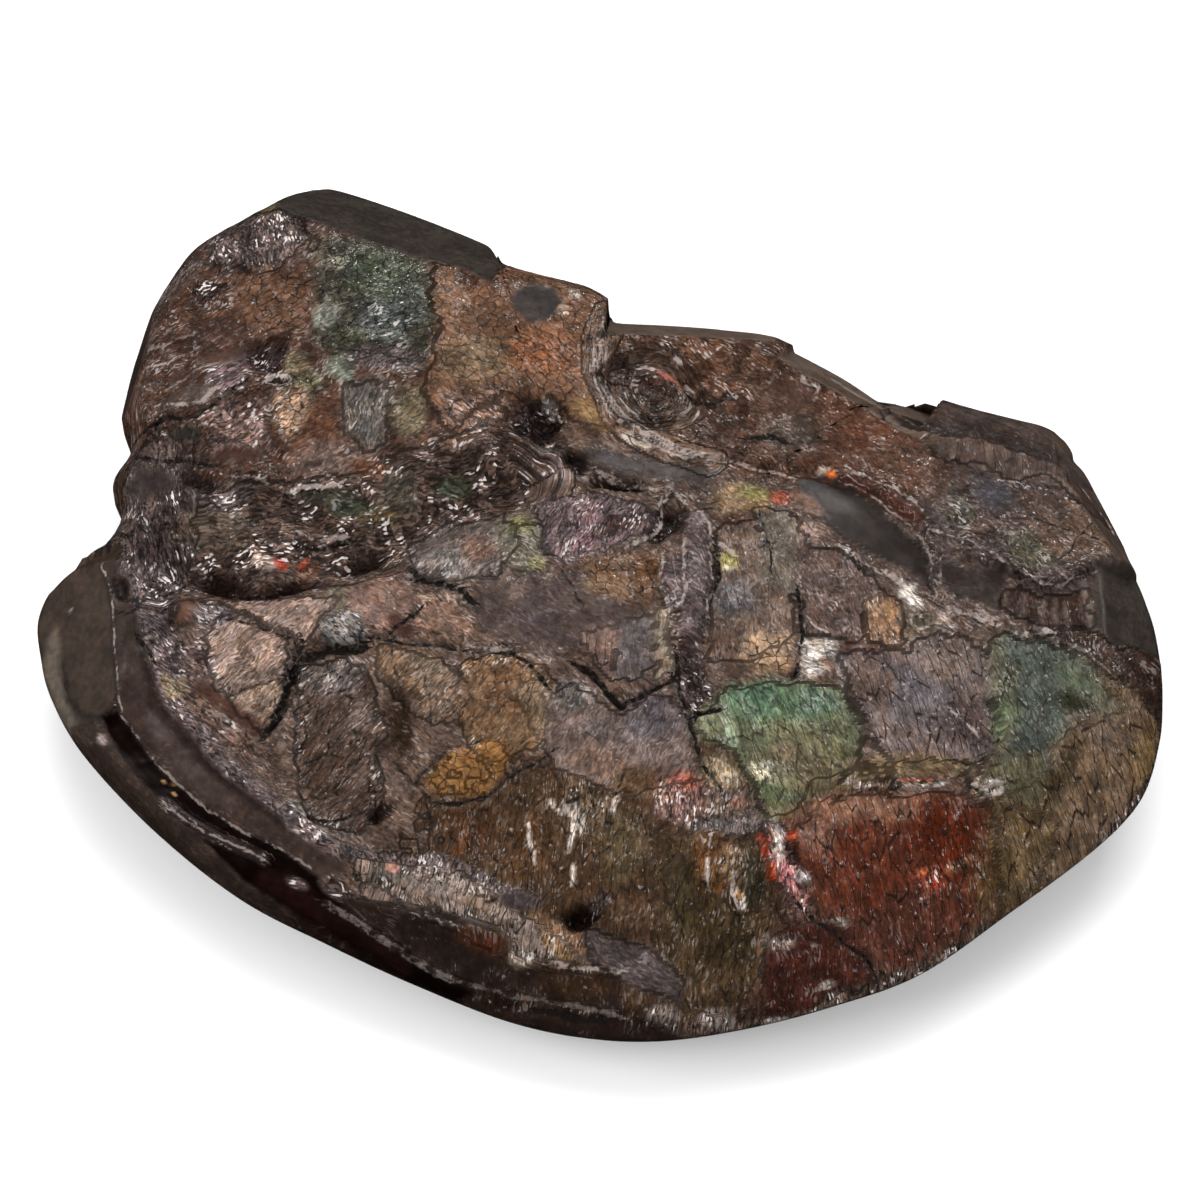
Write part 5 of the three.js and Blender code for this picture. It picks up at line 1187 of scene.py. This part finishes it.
BELLY_COLOUR = (60, 48, 41)
colours = np.ones((len(slab_mesh.vertices), 4))
colours[:, :3] = srgb(*BELLY_COLOUR)
colours[:face_corners, :3] = tint
slab_mesh.attributes.new("tint", "FLOAT_COLOR", "POINT").data.foreach_set("color", colours.ravel())
for name, values, fill in (("crackle", crackle, 0), ("streaks", streaks, 0), ("foil", foil, 0.05),
                           ("polish", polish, 0.9), ("line_gap", line_gap, LINE_REACH),
                           ("line_width", line_width, LEAST_WIDTH), ("line_dark", line_dark, 0),
                           ("seam_gap", seam_gap, LINE_REACH), ("seam_width", seam_width, LEAST_WIDTH),
                           ("seam_light", seam_light, 0)):
    corner_layer(name, values, fill)
growth_map = slab_mesh.uv_layers.new(name="growth")
loop_corner = np.empty(len(slab_mesh.loops), int)
slab_mesh.loops.foreach_get("vertex_index", loop_corner)
growth_places = corners[:, :2].copy()
growth_places[:face_corners] = np.stack([grain_across + rolled, grain_along + rolled], axis=1)
growth_map.data.foreach_set("uv", growth_places[loop_corner].ravel())
slab_mesh.update()
stone = bpy.data.objects.new("ammolite_stone", slab_mesh)
bpy.context.collection.objects.link(stone)


# ---- The finish ----
# Brown nacre and ironstone with a soft shine, glossy where the lap polished them. Growth lines, crackle,
# crushed splinters and cracks colour them, with highlights and shade painted in among them, and their fine
# relief breaks up the shine.
# Colours, as the share of light reflected, of what is drawn on the shell: dark joints and cracks, painted
# shade in pits and in the gaps under torn edges, and painted highlights on splinters, cell edges and torn
# edges.
JOINT_COLOUR = (0.012, 0.007, 0.005, 1)
PIT_SHADE_COLOUR = (0.01, 0.007, 0.005, 1)
CRACK_AND_SHADE_COLOUR = (0.006, 0.004, 0.003, 1)
GLINT_HIGHLIGHT_COLOUR = (0.72, 0.65, 0.62, 1)
EDGE_GLINT_COLOUR = (0.5, 0.42, 0.39, 1)
TORN_EDGE_HIGHLIGHT_COLOUR = (0.4, 0.33, 0.3, 1)
# Slight tints of the cloudy colour.
WARM, COOL = (1.08, 1.0, 0.9, 1), (0.98, 1.0, 1.02, 1)
# Pieces per millimetre, across and along the growth lines.
STREAK_SCALE = (1.15, 0.2, 1)
LONG_CELL_SCALE = (1.05, 0.24, 1)
SHARD_SCALE = (0.95, 0.6, 1)
SPLINTER_SCALE = (6.2, 2.1, 1)
CRACKLE_SCALE = 0.85
# Height of the fine relief of wrinkles, shards, splinters and streaks.
WRINKLE_HEIGHT, SHARD_HEIGHT, SPLINTER_HEIGHT, STREAK_HEIGHT = 0.5, 0.7, 0.1, 0.22
finish = bpy.data.materials.new("shelly_ironstone")
finish.use_nodes = True
nodes, links = finish.node_tree.nodes, finish.node_tree.links
shader = nodes["Principled BSDF"]


def attribute(name):
    """A value or colour stored on the corners."""
    node = nodes.new("ShaderNodeAttribute")
    node.attribute_name = name
    return node.outputs["Color" if name == "tint" else "Fac"]


def feed(socket, value):
    """Link a node's result to a socket, or set it to a number or colour."""
    if isinstance(value, bpy.types.NodeSocket):
        links.new(value, socket)
    else:
        socket.default_value = value


def calculate(operation, *values):
    """One step of arithmetic."""
    node = nodes.new("ShaderNodeMath")
    node.operation = operation
    for socket, value in zip(node.inputs, values):
        feed(socket, value)
    return node.outputs[0]


def times(first, second):
    """The product of two values."""
    return calculate("MULTIPLY", first, second)


def plus_scaled(value, scale, base):
    """A value times a scale, added to a base."""
    return calculate("MULTIPLY_ADD", value, scale, base)


def ramp(value, low, high, to_low=0.0, to_high=1.0):
    """A smooth change from one number to another."""
    node = nodes.new("ShaderNodeMapRange")
    node.interpolation_type = "SMOOTHSTEP"
    feed(node.inputs["Value"], value)
    for name, number in (("From Min", low), ("From Max", high), ("To Min", to_low), ("To Max", to_high)):
        feed(node.inputs[name], number)
    return node.outputs["Result"]


def mix(share, first, second, blend="MIX"):
    """Two colours laid over each other."""
    node = nodes.new("ShaderNodeMix")
    node.data_type = "RGBA"
    node.blend_type = blend
    for socket, value in zip((node.inputs[0], node.inputs[6], node.inputs[7]), (share, first, second)):
        feed(socket, value)
    return node.outputs[2]


def toned(colour, value, low, high, dark, light):
    """A colour made darker or lighter by a value."""
    return mix(1.0, colour, ramp(value, low, high, dark, light), "MULTIPLY")


def noise(place, per_mm, detail, roughness=0.5):
    """Random clouds."""
    node = nodes.new("ShaderNodeTexNoise")
    for name, value in (("Vector", place), ("Scale", per_mm), ("Detail", detail), ("Roughness", roughness)):
        feed(node.inputs[name], value)
    return node.outputs["Fac"]


def stretched(place, scale):
    """A place measured with another scale along each axis."""
    node = nodes.new("ShaderNodeMapping")
    feed(node.inputs["Vector"], place)
    feed(node.inputs["Scale"], scale)
    return node.outputs["Vector"]


def wandered(place, per_mm, reach):
    """A place shifted at random, so that lines drawn from it wander."""
    shift = nodes.new("ShaderNodeTexNoise")
    shift.noise_dimensions = "2D"
    shift.inputs["Detail"].default_value = 1
    feed(shift.inputs["Vector"], place)
    feed(shift.inputs["Scale"], per_mm)
    node = nodes.new("ShaderNodeVectorMath")
    node.operation = "MULTIPLY_ADD"
    feed(node.inputs[0], shift.outputs["Color"])
    feed(node.inputs[1], (reach, reach, reach))
    feed(node.inputs[2], place)
    return node.outputs[0]


def cells(place, per_mm, feature):
    """A mosaic of cells: the distance to their edges, or a random tone for each."""
    node = nodes.new("ShaderNodeTexVoronoi")
    node.voronoi_dimensions = "2D"
    node.feature = feature
    feed(node.inputs["Vector"], place)
    feed(node.inputs["Scale"], per_mm)
    if feature == "F1":
        return node.outputs["Color"]
    return node.outputs["Distance"]


coordinates = nodes.new("ShaderNodeTexCoord")
place = stretched(coordinates.outputs["Object"], (1 / MM, 1 / MM, 1 / MM))
growth_uv = nodes.new("ShaderNodeUVMap")
growth_uv.uv_map = "growth"
cracked, lined, foiled, polished = (attribute(name) for name in ("crackle", "streaks", "foil", "polish"))
unpolished = calculate("SUBTRACT", 1.0, polished)

# Cloudy colour, from patches of a few millimetres down to grains, now warmer and now cooler.
mottle = noise(place, 0.33, 3, 0.6)
colour = toned(attribute("tint"), mottle, 0.3, 0.7, 0.74, 1.26)
drift = noise(place, 0.62, 2, 0.6)
colour = mix(ramp(drift, 0.35, 0.65), mix(1.0, colour, WARM, "MULTIPLY"), mix(1.0, colour, COOL, "MULTIPLY"))
grains = noise(place, 1.4, 3, 0.6)
colour = toned(colour, grains, 0.3, 0.7, 0.84, 1.17)


def mosaic(place):
    """Chips tilted at random: three random tones for each, and how far it rises along its tilt."""
    chip = nodes.new("ShaderNodeTexVoronoi")
    chip.voronoi_dimensions = "2D"
    feed(chip.inputs["Vector"], place)
    feed(chip.inputs["Scale"], 1.0)
    tones = nodes.new("ShaderNodeSeparateColor")
    feed(tones.inputs["Color"], chip.outputs["Color"])
    offset, tilt, rise = (nodes.new("ShaderNodeVectorMath") for _ in range(3))
    offset.operation = tilt.operation = "SUBTRACT"
    rise.operation = "DOT_PRODUCT"
    feed(offset.inputs[0], place)
    feed(offset.inputs[1], chip.outputs["Position"])
    feed(tilt.inputs[0], chip.outputs["Color"])
    feed(tilt.inputs[1], (0.5, 0.5, 0.5))
    feed(rise.inputs[0], offset.outputs[0])
    feed(rise.inputs[1], tilt.outputs[0])
    return [tones.outputs[index] for index in range(3)], rise.outputs["Value"]


def band(value, low, high, soft):
    """1 between two numbers and 0 outside them."""
    return times(ramp(value, low, low + soft), ramp(value, high - soft, high, 1, 0))


# Growth lines of the shell: light and dark streaks, and fine dark lines between long cells.
growth = growth_uv.outputs["UV"]
streak = noise(stretched(growth, STREAK_SCALE), 1.0, 3, 0.66)
colour = mix(lined, colour, toned(colour, streak, 0.3, 0.7, 0.72, 1.28))
# Where painted glints may lie beside cell edges.
glint_gate = ramp(grains, 0.6, 0.66)
gate = noise(place, 0.7, 2)
long_place = stretched(wandered(growth, 0.35, 0.6), LONG_CELL_SCALE)
long_edges = cells(long_place, 1.0, "DISTANCE_TO_EDGE")
hairlines = times(times(ramp(long_edges, 0.02, 0.07, 1, 0), ramp(gate, 0.4, 0.46)), lined)
long_edge_glints = times(band(long_edges, 0.07, 0.17, 0.03), lined)
colour = mix(times(hairlines, 0.88), colour, JOINT_COLOUR)

# Crackle: cells over a millimetre wide, each with its own tone, parted by fine dark lines.
cell_place = wandered(growth, 0.7, 1.1)
cell_reach = cells(cell_place, CRACKLE_SCALE, "DISTANCE_TO_EDGE")
cell_edges = times(times(ramp(cell_reach, 0.02, 0.12, 1, 0), cracked), ramp(gate, 0.38, 0.5, 0.35, 1))
cell_edge_glints = times(band(cell_reach, 0.06, 0.15, 0.03), cracked)
cell_tones = cells(cell_place, CRACKLE_SCALE, "F1")
colour = mix(cracked, colour, toned(colour, cell_tones, 0.2, 0.8, 0.78, 1.22))
colour = mix(times(cell_edges, 0.88), colour, JOINT_COLOUR)

# Crushed shell: a mosaic of shards and splinters along the growth lines, each tilted and toned its own way.
# Some splinters are painted light as glints, and some dark as shaded pits.
crumpled = times(plus_scaled(foiled, 0.64, 0.36), unpolished)
crushed = times(plus_scaled(times(foiled, foiled), 0.92, 0.08), unpolished)
bent_growth = wandered(growth, 0.3, 1.4)
shard_place = stretched(bent_growth, SHARD_SCALE)
shard_tones, shard_rise = mosaic(shard_place)
shard_borders = ramp(cells(shard_place, 1.0, "DISTANCE_TO_EDGE"), 0.012, 0.05, 1, 0)
shard_borders = times(shard_borders, times(crumpled, ramp(gate, 0.44, 0.54)))
splinter_tones, splinter_rise = mosaic(stretched(bent_growth, SPLINTER_SCALE))
cluster = ramp(mottle, 0.49, 0.6)
colour = mix(crumpled, colour, toned(colour, shard_tones[0], 0, 1, 0.6, 1.44))
colour = mix(crumpled, colour, toned(colour, splinter_tones[2], 0, 1, 0.36, 1.68))
# Painted shade: dark pits among the splinters, joined with the dark borders between shards.
shaded_pits_and_joints = calculate("MAXIMUM", times(ramp(splinter_tones[1], 0.8, 0.86), crumpled), shard_borders)
# Painted highlights: bright splinters in clusters, standing for glints.
glint_highlights = times(ramp(splinter_tones[0], 0.81, 0.83), times(crushed, cluster))
colour = mix(times(shaded_pits_and_joints, 0.8), colour, PIT_SHADE_COLOUR)
colour = mix(times(glint_highlights, 0.95), colour, GLINT_HIGHLIGHT_COLOUR)
# Painted highlights: light flecks beside the edges of long cells and crackle cells.
edges = times(glint_gate, calculate("MAXIMUM", long_edge_glints, cell_edge_glints))
colour = mix(times(edges, 0.45), colour, EDGE_GLINT_COLOUR)


def drawn(gap_name, width_name, strength_name, gaps, broken):
    """A line that follows a stored distance, with ragged sides, broken up by a share where a noise is low."""
    ragged = plus_scaled(calculate("SUBTRACT", noise(place, 1.1, 2), 0.5), 0.5, attribute(gap_name))
    reach = calculate("DIVIDE", calculate("ABSOLUTE", ragged), attribute(width_name))
    line = times(ramp(reach, 0.6, 1.4, 1, 0), attribute(strength_name))
    return times(line, ramp(gaps, 0.45, 0.54, 1 - broken, 1))


# Cracks and the painted shade in gaps are drawn dark, and the painted highlights on torn edges light.
dark_lines = drawn("line_gap", "line_width", "line_dark", grains, 0.6)
patches = plus_scaled(mottle, 0.5, times(grains, 0.5))
light_lines = drawn("seam_gap", "seam_width", "seam_light", patches, 0.95)
colour = mix(times(dark_lines, 0.92), colour, CRACK_AND_SHADE_COLOUR)
colour = mix(times(light_lines, 0.7), colour, TORN_EDGE_HIGHLIGHT_COLOUR)
links.new(colour, shader.inputs["Base Color"])

# Relief too fine for the mesh, in millimetres.
leather = times(noise(place, 0.8, 2), plus_scaled(foiled, WRINKLE_HEIGHT, 0.3))
height = times(leather, unpolished)
height = plus_scaled(shard_rise, times(crumpled, SHARD_HEIGHT), height)
height = plus_scaled(splinter_rise, times(crumpled, SPLINTER_HEIGHT), height)
height = plus_scaled(streak, times(lined, STREAK_HEIGHT), height)
bump = nodes.new("ShaderNodeBump")
feed(bump.inputs["Strength"], 1.0)
feed(bump.inputs["Distance"], MM)
feed(bump.inputs["Height"], height)
links.new(bump.outputs["Normal"], shader.inputs["Normal"])

# The shine is broken by grains, and lost in the dark painted pits, shard borders and cracks.
dull = calculate("ADD", shaded_pits_and_joints, dark_lines)
gloss = plus_scaled(polished, 0.24, ramp(grains, 0.3, 0.7, 0.18, 0.3))
links.new(plus_scaled(dull, 0.4, gloss), shader.inputs["Roughness"])
shader.inputs["Specular IOR Level"].default_value = 0.4
slab_mesh.materials.append(finish)
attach(stone, "root")
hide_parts("ammolite_slab")


# ---- The studio ----
# A plain white table, lit well past white by soft lamps and a bright room. Only three small lamps at the back
# show in the gloss.
TABLE_FINISH = {"Base Color": (0.9, 0.9, 0.9, 1), "Roughness": 0.9, "Specular IOR Level": 0}
ROOM_LIGHT = {"Color": (1, 1, 1, 1), "Strength": 0.82}
table_mesh = bpy.data.meshes.new("table")
table_shape = bmesh.new()
bmesh.ops.create_grid(table_shape, x_segments=1, y_segments=1, size=1.5)
table_shape.to_mesh(table_mesh)
table_shape.free()
table = bpy.data.objects.new("table", table_mesh)
bpy.context.collection.objects.link(table)
table_finish = bpy.data.materials.new("white_table")
table_finish.use_nodes = True
for name, value in TABLE_FINISH.items():
    table_finish.node_tree.nodes["Principled BSDF"].inputs[name].default_value = value
table_mesh.materials.append(table_finish)
table.visible_glossy = False


def lamp(name, place, size, power, glints):
    """A square lamp aimed at the specimen: it either lights it or shows in its gloss."""
    data = bpy.data.lights.new(name, "AREA")
    data.shape = "SQUARE"
    data.size = size
    data.energy = power
    holder = bpy.data.objects.new(name, data)
    holder.location = place
    holder.rotation_euler = (math.atan2(math.hypot(place[0], place[1]), place[2]), 0,
                             math.atan2(place[1], place[0]) + math.pi / 2)
    holder.visible_glossy = glints
    holder.visible_diffuse = not glints
    bpy.context.collection.objects.link(holder)


lamp("key", (0.12, 0.6, 1), 0.7, 9, False)
lamp("left_light", (-0.85, -0.1, 0.85), 0.6, 7, False)
lamp("right_light", (0.85, -0.2, 0.85), 0.5, 2.6, False)
lamp("back_glint", (0.15, 1.1, 0.62), 0.1, 3, True)
lamp("left_glint", (-0.95, 0.6, 0.6), 0.1, 3, True)
lamp("right_glint", (0.95, 0.5, 0.6), 0.1, 3, True)
world = bpy.data.worlds.new("studio")
bpy.context.scene.world = world
world.use_nodes = True
for name, value in ROOM_LIGHT.items():
    world.node_tree.nodes["Background"].inputs[name].default_value = value
world.cycles_visibility.glossy = False
bpy.context.scene.view_settings.view_transform = "Standard"
